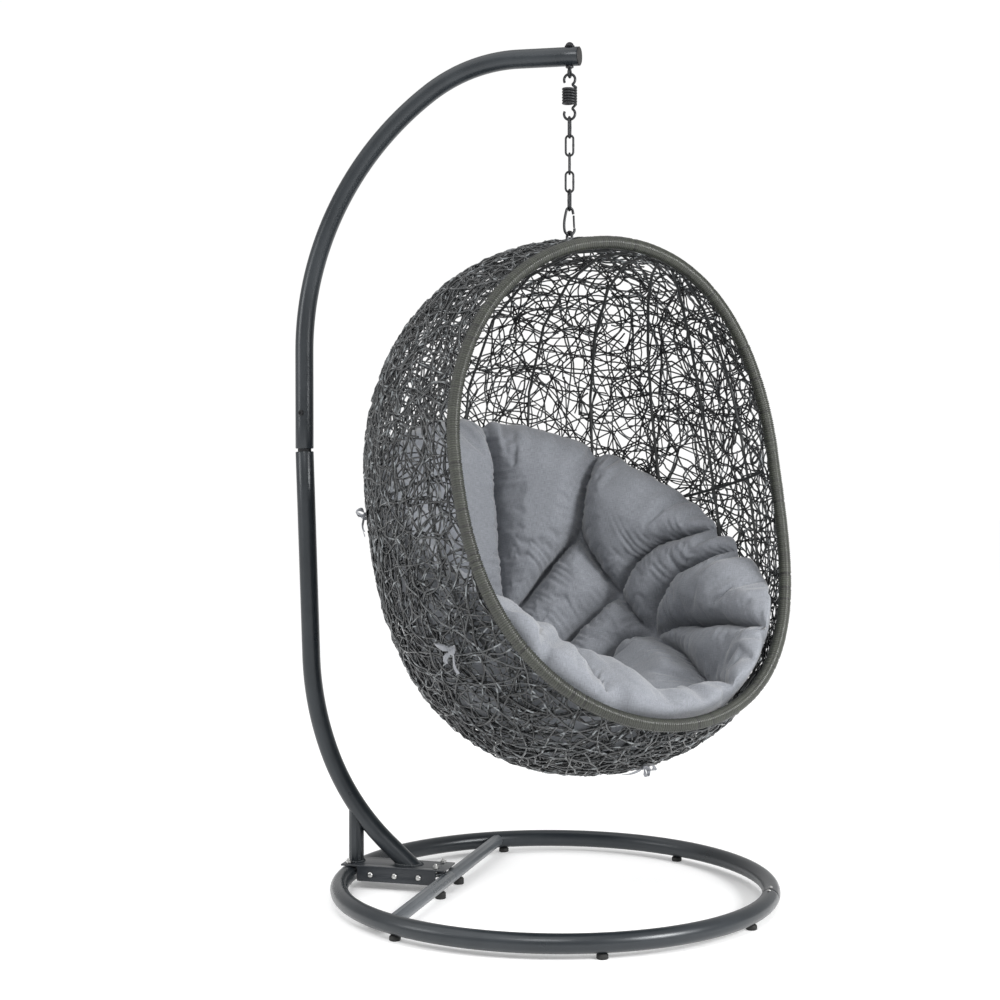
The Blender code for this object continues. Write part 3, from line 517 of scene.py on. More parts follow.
# ---------------- hanging train
EYE_TOP_Z = 1.8838
COIL_R, SPRING_WIRE_R, HOOK_R = 0.0145, 0.003, 0.0128
COIL_TOP, COIL_BOTTOM, COIL_TURNS = 1.8530, 1.8150, 6
LINK_WIRE_R, LINK_HALF_W, LINK_LEN = 0.0025, 0.0088, 0.0465
LINK_TOPS = [1.7863 - 0.0412 * i for i in range(5)]
CHAIN_TWIST = 9.4
CARABINER_TOP, CARABINER_BOTTOM = 1.5808, 1.5194
CARABINER_WIRE_R, GATE_WIRE_R = 0.003, 0.0024
GATE_PIVOT, GATE_TIP = np.array((0.0104, 0, -0.0180)), np.array((0.0117, 0, -0.0440))


def smooth_line(points, count):
    """Evenly spaced points on a smooth line through the given ones."""
    points = np.asarray(points, dtype=float)
    gaps = np.linalg.norm(np.diff(points, axis=0), axis=1)
    along = np.concatenate([[0.0], np.cumsum(gaps)])
    wanted = np.linspace(0.0, along[-1], count)
    slopes = np.gradient(points, along, axis=0)
    k = np.clip(np.searchsorted(along, wanted) - 1, 0, len(points) - 2)
    span = (along[k + 1] - along[k])[:, None]
    t = ((wanted - along[k])[:, None]) / span
    a, b = points[k], points[k + 1]
    return (a * (1 + 2 * t) * (1 - t) ** 2 + slopes[k] * span * t * (1 - t) ** 2
            + b * t * t * (3 - 2 * t) + slopes[k + 1] * span * t * t * (t - 1))


def make_spring():
    """Close-wound spring with a hook at each end, between the eye and the chain."""
    bottom = LINK_TOPS[0] - LINK_WIRE_R - SPRING_WIRE_R - GAP
    upper = arc((0, 0, EYE_TOP_Z - HOOK_R), HOOK_R, 210, -55, 30)
    turns = np.linspace(0, 2 * math.pi * COIL_TURNS, COIL_TURNS * 40 + 1)
    coil = np.stack([COIL_R * np.cos(turns), COIL_R * np.sin(turns),
                     np.linspace(COIL_TOP, COIL_BOTTOM, len(turns))], -1)
    lower = arc((0, 0, bottom + HOOK_R), HOOK_R, 55, -210, 30)
    line = smooth_line(np.concatenate([upper, coil, lower]), 420) + np.array(HANG)
    points, radii = rounded_radius(line, SPRING_WIRE_R, 0.0008)
    spring = wire_piece("spring_wire", points, radii, 14, "spring", "spring")
    spring.parent = None
    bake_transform(spring)


def turned_in_place(points, degrees, top):
    """Points in an XZ plane turned about the vertical and hung on the hang axis."""
    a = math.radians(degrees)
    x, y, z = points[:, 0], points[:, 1], points[:, 2]
    return np.stack([HANG.x + x * math.cos(a) - y * math.sin(a),
                     x * math.sin(a) + y * math.cos(a), z + top], -1)


def make_chain():
    """Five welded oval links with a small weld bulge on one side."""
    turns = (90, 0, 90 + CHAIN_TWIST, 2 * CHAIN_TWIST, 90 + 3 * CHAIN_TWIST)
    for i, (top, turn) in enumerate(zip(LINK_TOPS, turns), 1):
        upper = arc((0, 0, -LINK_HALF_W), LINK_HALF_W, 0, 180, 20)
        left = np.linspace(upper[-1], upper[-1] + np.array((0, 0, 2 * LINK_HALF_W - LINK_LEN)), 12)
        lower = arc((0, 0, LINK_HALF_W - LINK_LEN), LINK_HALF_W, 180, 360, 20)
        right = np.linspace(lower[-1], upper[0], 12)
        line = np.concatenate([upper, left[1:-1], lower, right[1:-1]])
        weld = np.exp(-((line[:, 2] + LINK_LEN / 2) / 0.0022) ** 2) * (line[:, 0] > 0)
        wire_piece(f"link_{i}_wire", turned_in_place(line, turn, top), LINK_WIRE_R + 0.00035 * weld, 16,
                   f"link_{i}", f"chain_link_{i}", cyclic=True)


def make_carabiner():
    """Pear-shaped snap hook with its gate."""
    length = CARABINER_TOP - CARABINER_BOTTOM
    narrow, wide = 0.0078, 0.0125
    top = arc((0, 0, -narrow), narrow, 20, 168, 24)
    base = arc((0, 0, wide - length), wide, 188, 352, 30)
    start = GATE_PIVOT + np.array((-0.0008, 0, 0.0037))
    nose = np.array((wide - 0.0002, 0, wide - length + 0.0028))
    line = smooth_line(np.concatenate([[start], top, base, [nose]]), 150)
    hook_wire("carabiner_wire", line, CARABINER_WIRE_R, 0.0007, "carabiner")
    spare = unit(GATE_TIP - GATE_PIVOT) * 0.0011
    line = np.linspace(GATE_PIVOT - spare, GATE_TIP + spare, 24)
    hook_wire("gate_wire", line, GATE_WIRE_R, 0.0009, "carabiner_gate")


def hook_wire(name, line, radius, lip, body):
    """One wire of the snap hook; its body and its CAD node have the same name."""
    points, radii = rounded_radius(turned_in_place(line, 4 * CHAIN_TWIST, CARABINER_TOP), radius, lip)
    wire_piece(name, points, radii, 16, body, body)


# ---------------- wound rim
BANDS, BAND_ROWS, WRAP_SIDES = 620, 5, 20
BAND_PROFILE = np.array([-0.0018, -0.0002, 0.0003, 0.0002, -0.0004])    # the first is the groove


def rim_line(count):
    """The rim's centreline in the row frame, evenly spaced, starting at the top."""
    dense = rim_points(np.linspace(0, 2 * np.pi, 1441)[:-1])
    closed = np.concatenate([dense, dense[:1]])
    along = np.concatenate([[0.0], np.cumsum(np.linalg.norm(np.diff(closed, axis=0), axis=1))])
    wanted = np.linspace(0.0, along[-1], count, endpoint=False)
    even = np.stack([np.interp(wanted, along, closed[:, k]) for k in range(3)], -1)
    return to_world(even)


def band_shapes(rng):
    """Radius and tone of every row of the wound bands; a few bands lie low and dark, and each band's
    groove row is painted dark as shade.
    """
    proud = rng.normal(0.0, 0.00016, BANDS)
    stray = rng.random(BANDS) < 0.05
    proud[stray] -= 0.0010
    tones = np.clip(rng.normal(0.70, 0.16, BANDS), 0, 1)
    tones[stray] = 0.1
    row_tones_and_groove_shade = np.repeat(tones, BAND_ROWS)
    # painted shade: the groove row between turns is coloured dark, as shade in the groove
    row_tones_and_groove_shade[::BAND_ROWS] = 0.0
    return WRAP_R - 0.0002 + np.tile(BAND_PROFILE, BANDS) + np.repeat(proud, BAND_ROWS), row_tones_and_groove_shade


def make_rim_wrap():
    """Flat wicker wound round the rim tube: one long helix of bands with a groove between turns."""
    rows = BANDS * BAND_ROWS
    line = rim_line(rows)
    _, u, v = frames_along(line, cyclic=True)
    radius, row_tones_and_groove_shade = band_shapes(np.random.default_rng(11))
    verts = np.empty((rows, WRAP_SIDES, 3))
    for k in range(WRAP_SIDES):
        turn = k * 2 * math.pi / WRAP_SIDES
        whole, part = divmod(k * BAND_ROWS / WRAP_SIDES, 1)
        whole = int(whole)
        here = np.roll(line, -whole, 0) * (1 - part) + np.roll(line, -whole - 1, 0) * part
        cu, cv = np.roll(u, -whole, 0), np.roll(v, -whole, 0)
        verts[:, k] = here + (math.cos(turn) * cu + math.sin(turn) * cv) * radius[:, None]
    i, j = np.meshgrid(np.arange(rows), np.arange(WRAP_SIDES), indexing="ij")
    next_row = np.where(j == WRAP_SIDES - 1, (i + BAND_ROWS) % rows, i)
    beside = (j + 1) % WRAP_SIDES
    quads = np.stack([i * WRAP_SIDES + j, next_row * WRAP_SIDES + beside,
                      (next_row + 1) % rows * WRAP_SIDES + beside,
                      (i + 1) % rows * WRAP_SIDES + j], -1).reshape(-1, 4)
    wrap = mesh_piece("rim_wicker", verts.reshape(-1, 3), quads, RIM_WICKER, "basket")
    store_tone(wrap, np.repeat(row_tones_and_groove_shade, WRAP_SIDES))
    store_uv(wrap, np.stack([j / WRAP_SIDES * 0.088, i * 0.001], -1).reshape(-1, 2), quads)
    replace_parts(wrap, "rim_wrap")


def store_tone(obj, values):
    attribute = obj.data.attributes.new("tone", "FLOAT", "POINT")
    attribute.data.foreach_set("value", np.asarray(values, dtype=np.float32))


def store_uv(obj, per_vertex, faces):
    """A UV map in metres, from one value per vertex."""
    layer = obj.data.uv_layers.new(name="UVMap")
    layer.data.foreach_set("uv", per_vertex[faces.ravel()].astype(np.float32).ravel())


# ---------------- woven shell
STRAND_R, STRAND_SIDES = 0.0019, 5
STRAND_STEP, STRAND_STEPS, SHORT_STEPS = 0.0110, 170, 44
CELL = 0.034                        # size of the cells in which strands are counted
TRIES = 5                           # strands drawn for each one that is laid
# The layer shade is painted shade: the deeper a layer lies, the darker its strands, as if in the shell's
# shade; the outer layer is paler, as if lit.
WEAVE_LAYERS = (                    # name, level, across, short, curling, painted layer shade, thickness, seed
    ("weave_outer", 0.0020, 95, 175, 0.15, 0.62, 1.1, 21),
    ("weave_middle", -0.0014, 112, 120, 0.07, 0.26, 1.0, 22),
    ("weave_inner", -0.0048, 116, 90, 0.04, 0.12, 1.0, 23))


def wanted_density(p):
    """How thickly the shell is woven: close at the sides and underneath, open at the back."""
    sides = np.clip((np.abs(p[..., 0]) - 0.22) / 0.16, 0, 1) * np.clip(1.6 + 3 * p[..., 1], 0, 1)
    under = np.clip((-0.22 - p[..., 2]) / 0.18, 0, 1)
    crown = np.clip((p[..., 2] - 0.34) / 0.10, 0, 1)
    return 1.0 + 0.42 * np.maximum(0.8 * sides, under) + 0.15 * crown


def strand_paths(count, rng, from_rim, curling):
    """Strands laid over the egg, bending and kinking a little as they go."""
    if from_rim:
        start = egg_hit(unit(rim_points(rng.random(count) * 2 * np.pi)))
        heading = unit(np.array([0.0, -1.0, 0.1]) - start)
        spread = rng.uniform(-1.3, 1.3, count)
    else:
        start = egg_hit(unit(rng.normal(size=(count, 3))))
        heading = unit(rng.normal(size=(count, 3)))
        spread = np.zeros(count)
    normal = unit(start)
    t = unit(heading - normal * (heading * normal).sum(-1, keepdims=True))
    t = t * np.cos(spread)[:, None] + np.cross(normal, t) * np.sin(spread)[:, None]
    often, sharp = (0.12, 0.38) if from_rim else (0.16, 0.50)
    curl = rng.normal(0.0, 0.018 if from_rim else curling, count)
    here, path, bend = start, [start], np.zeros(count)
    for _ in range(STRAND_STEPS):
        side = unit(np.cross(unit(here), t))
        kink = (rng.random(count) < often) * rng.normal(0.0, sharp, count)
        bend = 0.75 * bend + rng.normal(0.0, 0.040, count)
        turn = curl + bend + kink
        t = t * np.cos(turn)[:, None] + side * np.sin(turn)[:, None]
        following = egg_hit(unit(here + t * STRAND_STEP))
        t = unit(following - here)
        here = following
        path.append(here)
    return np.stack(path, 1)


def lay_strands(count, rng, from_rim, filled, curling=0.0):
    """Choose, one by one, the strand out of a few that crosses the emptiest cells."""
    paths = strand_paths(count * TRIES, rng, from_rim, curling)
    behind = paths[..., 1] < mouth(paths[..., 2]) + 0.002
    cells = np.floor(paths / CELL).astype(int) + 32
    keys = (cells[..., 0] * 64 + cells[..., 1]) * 64 + cells[..., 2]
    wanted = wanted_density(paths)
    strands = []
    for k in range(count):
        best = None
        for n in range(k * TRIES, (k + 1) * TRIES):
            stop = STRAND_STEPS if behind[n, 1:].all() else int(np.argmin(behind[n, 1:])) + 2
            if not behind[n, :6].all() or stop < 8:
                continue
            if not from_rim:
                stop = min(stop, SHORT_STEPS)
            load = np.mean(filled[keys[n, :stop]] / wanted[n, :stop])
            if best is None or load < best[0]:
                best = (load, n, stop)
        if best is not None:
            _, n, stop = best
            filled[keys[n, :stop]] += 1.0
            strands.append(paths[n, :stop])
    return strands


def weave_layer(name, strands, level, painted_layer_shade, thickness, rng):
    """One mesh of strands that rise and fall about a level, each in a tone of its own, darkened by the
    layer's painted shade.
    """
    verts, quads, tones, uvs = [], [], [], []
    base = 0
    for line in strands:
        run = np.arange(len(line)) * STRAND_STEP
        swing = 0.0024 * np.sin(run * rng.uniform(60, 120) + rng.uniform(0, 6.3))
        jitter = rng.normal(0.0, 0.0005, len(line))
        line = line + outward(line) * (level + swing + jitter)[:, None]
        radius = STRAND_R * rng.uniform(0.85, 1.15) * thickness
        v, q = tube_mesh(to_world(line), radius, STRAND_SIDES, caps=False)
        verts.append(v)
        quads.append(q + base)
        base += len(v)
        # random tone per strand, scaled by the layer's painted shade
        pale = painted_layer_shade if rng.random() < 0.50 else 0.15 * painted_layer_shade
        tones.append(np.full(len(v), np.clip(rng.normal(pale, 0.22), 0, 1)))
        around = np.tile(np.arange(STRAND_SIDES) / STRAND_SIDES * 0.0107, len(line))
        uvs.append(np.stack([np.repeat(run + rng.uniform(0, 5), STRAND_SIDES), around], -1))
    quads = np.concatenate(quads)
    weave = mesh_piece(name, np.concatenate(verts), quads, STRAND, "basket")
    store_tone(weave, np.concatenate(tones))
    store_uv(weave, np.concatenate(uvs), quads)
    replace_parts(weave, "basket_weave")


def make_weave():
    """Three layers of random strands that pass over and under each other, from rim to rim."""
    filled = np.zeros(64 ** 3)
    for name, level, across, short, curling, painted_layer_shade, thickness, seed in WEAVE_LAYERS:
        rng = np.random.default_rng(seed)
        strands = lay_strands(across, rng, True, filled)
        strands += lay_strands(short, rng, False, filled, curling)
        weave_layer(name, strands, level, painted_layer_shade, thickness, rng)


# ---------------- seat pad
PAD_POLE = unit(np.array([0.0, -0.55, -0.55]))
PAD_INSET, PAD_SEAM = 0.0275, 0.010    # back of the pad from the shell; its edge seam above that
PAD_SEWN, PAD_FULL = 0.036, 0.100      # thickness where it is sewn down, and rise in between
SEAM_NIP = 0.036                       # angle by which a seam's end draws the edge in
PAD_TOP_BACK, PAD_SLOPE, PAD_MARGIN = 0.20, 0.82, -0.026
PAD_COLUMNS, PAD_RINGS, BACK_RINGS = 440, 122, 14
TUFTS = ((0.240, -0.354, -0.089), (0.289, -0.283, -0.251), (0.307, -0.195, -0.361))
CENTRE = ((0.040, -0.415, 0.20), (0.048, -0.442, 0.03), (0.045, -0.445, -0.10), (0.035, -0.405, -0.28),
          (0.020, -0.33, -0.43), (0.0, -0.20, -0.53), (0.0, 0.10, -0.60))
BOLSTER, ROLL_AT = 0.062, 0.84         # extra thickness of the mouth's roll, and how far out it is
SEAM_HELD, TUFT_HELD = 0.0044, 0.011   # distances within which the front is sewn down


def seam_lines():
    """The pad's sewn channels, as directions from the egg's centre: a middle line and two fans."""
    top, middle, low = TUFTS
    right = [((0.310, -0.23, 0.22), (0.281, -0.293, 0.105), (0.263, -0.329, 0.028), top),
             (top, middle, low),
             (middle, (0.329, -0.231, -0.180), (0.358, -0.168, -0.146), (0.381, -0.068, -0.133),
              (0.39, 0.15, -0.08)),
             (low, (0.338, -0.172, -0.296), (0.368, -0.107, -0.234), (0.382, -0.013, -0.205),
              (0.375, 0.13, -0.15), (0.36, 0.28, -0.10)),
             (low, (0.345, -0.067, -0.360), (0.330, 0.102, -0.381), (0.27, 0.32, -0.40)),
             (low, (0.312, -0.073, -0.428), (0.252, 0.076, -0.503), (0.14, 0.36, -0.57)),
             (top, (0.183, -0.395, -0.150), (0.108, -0.423, -0.235), CENTRE[3]),
             (middle, (0.201, -0.345, -0.335), CENTRE[4]),
             (low, (0.257, -0.251, -0.394), CENTRE[5])]
    lines = [CENTRE]
    for line in right:
        lines.append(line)
        lines.append(tuple((-s, q, h) for s, q, h in line))
    return [unit(finely(np.array(line, dtype=float), 9)) for line in lines]


def finely(line, count):
    """The same broken line with every stretch cut into short ones."""
    shares = np.linspace(0, 1, count, endpoint=False)[:, None]
    return np.concatenate([a + shares * (b - a) for a, b in zip(line, line[1:])] + [line[-1:]])


def nearest_seam(directions, lines):
    """Angle to the nearest seam and the place along it, for each direction."""
    best = np.full(directions.shape[:-1], 9.0)
    along = np.zeros(directions.shape[:-1])
    start = 0.0
    for line in lines:
        for a, b in zip(line, line[1:]):
            way = b - a
            t = np.clip(((directions - a) @ way) / (way @ way), 0, 1)
            away = np.linalg.norm(directions - (a + t[..., None] * way), axis=-1)
            along = np.where(away < best, start + t * np.linalg.norm(way), along)
            best = np.minimum(best, away)
            start += np.linalg.norm(way)
        start += 1.0
    return best, along


def smoothed(values, times):
    """Values round a ring, blurred into their neighbours again and again."""
    for _ in range(times):
        values = (np.roll(values, 1) + 2 * values + np.roll(values, -1)) / 4
    return values


def pad_reach(lines):
    """Per column: its direction away from the pad's pole, the angle to its edge, nipped in where
    a seam ends, and how much of the mouth's roll it has (negative where the pad is thinned)."""
    side = np.array([1.0, 0.0, 0.0])
    other = np.cross(PAD_POLE, side)
    turns = np.arange(PAD_COLUMNS) * 2 * np.pi / PAD_COLUMNS
    away = np.cos(turns)[:, None] * side + np.sin(turns)[:, None] * other

    def toward(angle):
        return PAD_POLE * np.cos(angle)[:, None] + away * np.sin(angle)[:, None]

    def on_pad(angle):
        here = egg_hit(toward(angle))
        return ((here[:, 2] < PAD_TOP_BACK - PAD_SLOPE * (here[:, 1] + 0.43))
                & (here[:, 1] < mouth(here[:, 2]) - PAD_MARGIN))

    low, high = np.full(PAD_COLUMNS, 0.2), np.full(PAD_COLUMNS, 2.9)
    reach = smoothed(furthest(low, high, on_pad, 30), 6)
    edge = toward(reach)
    place = egg_hit(edge)
    at_mouth = place[:, 1] > mouth(place[:, 2]) - 0.03
    roll = np.where(at_mouth & (place[:, 0] < -0.07), 1.0, 0.0)
    roll = np.where(at_mouth & (place[:, 0] > -0.05) & (place[:, 2] < -0.38), -0.45, roll)
    off_seam, _ = nearest_seam(edge, lines)
    scallop = 0.006 * np.sin(turns * 31 + 1.5 * np.sin(turns * 5))
    reach = reach - SEAM_NIP * np.exp(-(off_seam / 0.040) ** 2) + scallop
    return away, reach, smoothed(roll, 50)


def swell(points, held):
    """Height of a skin held down at the seams and blown up between them, as a taut membrane."""
    ring = np.linalg.norm(np.roll(points, -1, 1) - points, axis=2) + 1e-5
    step = np.linalg.norm(points[1:] - points[:-1], axis=2) + 1e-5
    up, down = step[1:], step[:-1]
    right, left = ring[1:-1], np.roll(ring[1:-1], 1, 1)
    tall, wide = (up + down) / 2, (right + left) / 2
    weights = (wide / up, wide / down, tall / right, tall / left)
    total = sum(weights)
    height = np.where(held, 0.0, 0.0015)
    for _ in range(2200):
        inner = height[1:-1]
        inner = (weights[0] * height[2:] + weights[1] * height[:-2]
                 + weights[2] * np.roll(inner, -1, 1) + weights[3] * np.roll(inner, 1, 1)
                 + tall * wide) / total
        height[1:-1] = np.where(held[1:-1], 0.0, inner)
        height[0] = height[1].mean()
    return np.sqrt(2 * height)


def pad_rows():
    """Rings of points over the front and then the back of the pad, with what shapes each."""
    lines = seam_lines()
    away, reach, roll = pad_reach(lines)
    mirrored = [(sign * s, q, h) for s, q, h in TUFTS for sign in (1, -1)]
    tufts = unit(np.array(mirrored + [CENTRE[3], CENTRE[4], CENTRE[5]]))
    fractions = np.concatenate([np.linspace(0.0, 0.90, PAD_RINGS - 20),
                                0.90 + 0.10 * np.sin(np.linspace(0.05, 1.0, 20) * np.pi / 2)])
    angle = reach[None] * fractions[:, None]
    d = PAD_POLE * np.cos(angle)[..., None] + away[None] * np.sin(angle)[..., None]
    hit = egg_hit(d)
    way_in = -outward(hit)
    sewn = (PAD_SEWN - PAD_SEAM) * np.clip((1 - fractions) / 0.16, 0, 1) ** 0.6
    thick = sewn[:, None] + BOLSTER * np.exp(-((fractions[:, None] - ROLL_AT) / 0.12) ** 2) * roll
    thick = thick * np.clip((1 - fractions) / 0.03, 0, 1)[:, None] ** 0.5
    ground = hit + way_in * (PAD_INSET + PAD_SEAM + thick)[..., None]
    size = np.linalg.norm(ground, axis=2)
    off_seam, along = nearest_seam(unit(ground), lines)
    seam = off_seam * size
    tuft = np.linalg.norm(unit(ground)[:, :, None] - tufts, axis=3).min(2) * size
    height = front_height(ground, fractions[:, None], roll, seam, tuft, along)
    front = ground + way_in * height[..., None]
    rows = [[front[k], seam[k], tuft[k], np.full(PAD_COLUMNS, True)] for k in range(PAD_RINGS)]
    back = [PAD_RINGS - 12, PAD_RINGS - 16, PAD_RINGS - 19]
    back += list(np.linspace(PAD_RINGS - 24, 0, BACK_RINGS).astype(int))
    for k in back:
        rows.append([hit[k] + way_in[k] * PAD_INSET, seam[k] + 1, tuft[k] + 1,
                     np.full(PAD_COLUMNS, False)])
    for row in (rows[0], rows[-1]):
        row[:] = [values[:1] for values in row]
    return rows


def front_height(ground, fractions, roll, seam, tuft, along):
    """Height of the pad's front over its sewn depth: full between seams, folded beside them."""
    held = (seam < SEAM_HELD) | (tuft < TUFT_HELD)
    held[-1] = True
    rise = PAD_FULL * np.tanh(swell(ground, held) / PAD_FULL * 1.3)
    lip = np.exp(-((fractions - ROLL_AT) / 0.14) ** 2)
    rise = rise * (1 + 1.4 * lip * np.minimum(roll, 0))
    sunk = 0.016 * np.exp(-(tuft / 0.030) ** 2)
    turns = np.arange(PAD_COLUMNS) * 2 * np.pi / PAD_COLUMNS
    gather = 0.0022 * np.sin(along * 210 + 3 * np.sin(along * 37)) * np.exp(-seam / 0.020)
    pinch = 0.0020 * np.sin(turns * 58 + 3 * np.sin(turns * 9)) * np.exp(-(1 - fractions) / 0.06)
    folds = 0.0040 * np.sin(along * 88 + 4 * np.sin(along * 23)) * np.exp(-seam / 0.050)
    folds = folds * np.clip(seam / 0.012, 0, 1) * np.clip(0.5 + 0.8 * np.sin(along * 17 + 2), 0, 1)
    strain = folds * np.clip(rise / 0.04, 0, 1) + (gather + pinch) * np.clip(rise / 0.02, 0, 1)
    return rise - sunk + strain


def rows_to_faces(rows):
    """Faces between neighbouring rows; the first and last row are single points."""
    faces, start = [], 0
    for row, following in zip(rows, rows[1:]):
        here, there = len(row[0]), len(following[0])
        for i in range(PAD_COLUMNS):
            j = (i + 1) % PAD_COLUMNS
            corners = (start + i % here, start + here + i % there, start + here + j % there,
                       start + j % here)
            faces.append(tuple(dict.fromkeys(corners)))
        start += here
    return faces


CLOTH_FRAMES, CLOTH_CAP = 20, 0.012
CLOTH = {"quality": 5, "mass": 0.25, "tension_stiffness": 12, "compression_stiffness": 12,
         "shear_stiffness": 4, "bending_stiffness": 0.08, "use_pressure": True,
         "uniform_pressure_force": 3.5, "shrink_min": -0.045, "vertex_group_mass": "held"}


def inflate(obj, loose):
    """Swell the cloth where it is loose, by simulation, and keep each point within the cap."""
    rest = np.array([v.co for v in obj.data.vertices])
    group = obj.vertex_groups.new(name="held")
    for i, amount in enumerate(loose):
        group.add([i], float(1.0 - amount), "REPLACE")
    cloth = obj.modifiers.new("cloth", "CLOTH")
    settings = cloth.settings
    for key, value in CLOTH.items():
        setattr(settings, key, value)
    settings.effector_weights.gravity = 0
    cloth.collision_settings.use_collision = False
    scene = bpy.context.scene
    for frame_number in range(1, CLOTH_FRAMES + 1):
        scene.frame_set(frame_number)
    graph = bpy.context.evaluated_depsgraph_get()
    swollen = np.array([v.co for v in obj.evaluated_get(graph).data.vertices])
    obj.modifiers.remove(cloth)
    obj.vertex_groups.remove(group)
    scene.frame_set(1)
    moved = swollen - rest
    length = np.linalg.norm(moved, axis=1, keepdims=True)
    moved = moved * np.minimum(1.0, CLOTH_CAP / np.maximum(length, 1e-9))
    obj.data.vertices.foreach_set("co", (rest + moved).ravel())
    obj.data.update()


def crumple(obj, seam, front):
    """Small soft creases, more of them near the seams."""
    co = np.array([v.co for v in obj.data.vertices])
    normal = np.array([v.normal for v in obj.data.vertices])
    height = np.array([0.0017 * noise.noise(Vector(p) * 24.0)
                       + 0.0010 * noise.noise(Vector(p) * 55.0 + Vector((7, 3, 1))) for p in co])
    height = height * (0.5 + 1.3 * np.exp(-seam / 0.03))
    height = np.where(front > 0, height, 0.3 * height)
    co += normal * height[:, None]
    obj.data.vertices.foreach_set("co", co.ravel())
    obj.data.update()


def project_cloth(mesh):
    """A UV map in metres, each face seen along the axis that it faces most."""
    layer = mesh.uv_layers.new(name="UVMap")
    co = np.array([v.co for v in mesh.vertices])
    for face in mesh.polygons:
        axis = max(range(3), key=lambda k: abs(face.normal[k]))
        shown = [k for k in range(3) if k != axis]
        for loop, vert in zip(face.loop_indices, face.vertices):
            layer.data[loop].uv = co[vert][shown]


def make_pad():
    rows = pad_rows()
    points, seam, tuft, front = [np.concatenate([row[k] for row in rows]) for k in range(4)]
    faces = rows_to_faces(rows)
    mesh = bpy.data.meshes.new("seat_cushion")
    mesh.from_pydata([tuple(v) for v in to_world(points)], [], faces)
    bm = bmesh.new()
    bm.from_mesh(mesh)
    bmesh.ops.recalc_face_normals(bm, faces=bm.faces)
    bm.to_mesh(mesh)
    bm.free()
    mesh.shade_smooth()
    mesh.materials.append(FABRIC)
    pad = linked("seat_cushion", mesh)
    loose = np.clip(np.minimum((seam - 0.004) / 0.016, (tuft - 0.012) / 0.020), 0, 1)
    loose = np.where(front > 0, loose, 0.0)
    inflate(pad, loose)
    crumple(pad, seam, front)
    project_cloth(mesh)
    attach(pad, "basket")
    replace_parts(pad, "seat_pad")


# ---------------- ties
TIES = ((-0.399, -0.245, -0.052, -20.0), (-0.402, 0.080, -0.392, 0.0), (0.004, 0.130, -0.666, 60.0))
TAPE_WIDTH, TAPE_THICK = 0.011, 0.0009
BOW = (("loop", 205.0, 0.036, 0.010), ("loop", -20.0, 0.024, 0.013), ("tail", 75.0, 0.047, 0.007),
       ("tail", 128.0, 0.034, 0.006))   # kind, direction, length, height


def ribbon(name, points, across, pinch):
    """A flat tape along the points, with its width along the given directions, pinched in places."""
    shares = np.array([-0.5, -0.17, 0.17, 0.5])[None, :, None]
    verts = points[:, None] + unit(across)[:, None] * TAPE_WIDTH * shares * pinch[:, None, None]
    faces = [(i * 4 + k, i * 4 + k + 1, i * 4 + k + 5, i * 4 + k + 4)
             for i in range(len(points) - 1) for k in range(3)]
    tape = mesh_piece(name, verts.reshape(-1, 3), faces, TAPE, "basket")
    vert = np.arange(len(points) * 4)
    store_uv(tape, np.stack([vert // 4 * 0.002, vert % 4 * TAPE_WIDTH / 3], -1), np.array(faces))
    body = tape.modifiers.new("thickness", "SOLIDIFY")
    body.thickness = TAPE_THICK
    fine = tape.modifiers.new("fine", "SUBSURF")
    fine.levels = fine.render_levels = 1
    return tape


def bow_line(kind, length, height, k):
    """Steps along one loop or tail: the step, distance from the knot, lift and sideways sway."""
    if kind == "loop":
        t = np.linspace(0.0, 2 * np.pi, 33)
        lift = 0.002 + height * (1 - 0.7 * np.cos(t / 2)) * np.sin(t / 2) - 0.004 * np.sin(t)
        return t, 0.003 + length * (1 - np.cos(t)) / 2, lift, 0.004 * np.sin(t)
    t = np.linspace(0.0, 1.0, 20)
    return t, 0.003 + length * t, 0.002 + height * np.sin(2.6 * t), 0.005 * np.sin(3 * t + k)


def make_bow(number, place, normal, turn):
    """A tape tied in a bow: two loops, two hanging tails and the knot."""
    down = unit(np.array([0, 0, -1.0]) - normal * (-normal[2]))
    side = np.cross(normal, down)
    centre = place + normal * 0.008
    for k, (kind, degrees, length, height) in enumerate(BOW):
        angle = math.radians(degrees + turn)
        way = side * math.cos(angle) + down * math.sin(angle)
        beside = np.cross(normal, way)
        t, run, lift, sway = bow_line(kind, length, height, k)
        points = centre + run[:, None] * way + sway[:, None] * beside + lift[:, None] * normal
        roll = 0.5 * np.sin(1.3 * t + k)[:, None]
        across = np.cos(roll) * beside + np.sin(roll) * normal
        tape = ribbon(f"bow_{number}_{kind}_{k + 1}", points, across, np.clip(run / 0.012, 0.35, 1.0))
    t = np.linspace(0, 2 * np.pi, 25)[:-1]
    ring = [centre + side * 0.0040 * math.cos(a) + down * 0.0052 * math.sin(a)
            + normal * (0.002 + 0.002 * math.cos(2 * a)) for a in t]
    verts, quads = tube_mesh(np.array(ring), 0.0038 + 0.0005 * np.sin(3 * t), 12, cyclic=True)
    mesh_piece(f"bow_{number}_knot", verts, quads, TAPE, "basket")


def make_ties():
    for number, (s, q, h, turn) in enumerate(TIES, 1):
        hit = egg_hit(unit(np.array([[s, q, h]])))
        normal = to_world(outward(hit)) - to_world(np.zeros((1, 3)))
        make_bow(number, to_world(hit)[0], normal[0], turn)


# ---------------- studio
CAMERA_AT, CAMERA_TARGET = (0.9835, -3.8307, 0.9947), (-0.0680, -0.0334, 0.9157)
SOFT_BOXES = (                          # name, place, target, size, power
    ("left_box", (-3.2, -2.2, 1.8), (0.0, 0.0, 0.9), 1.2, 26.0),
    ("front_box", (0.4, -3.4, 3.6), (0.1, 0.0, 0.7), 1.4, 45.0),
    ("right_box", (3.4, -1.4, 2.0), (0.0, 0.0, 0.8), 1.2, 140.0))


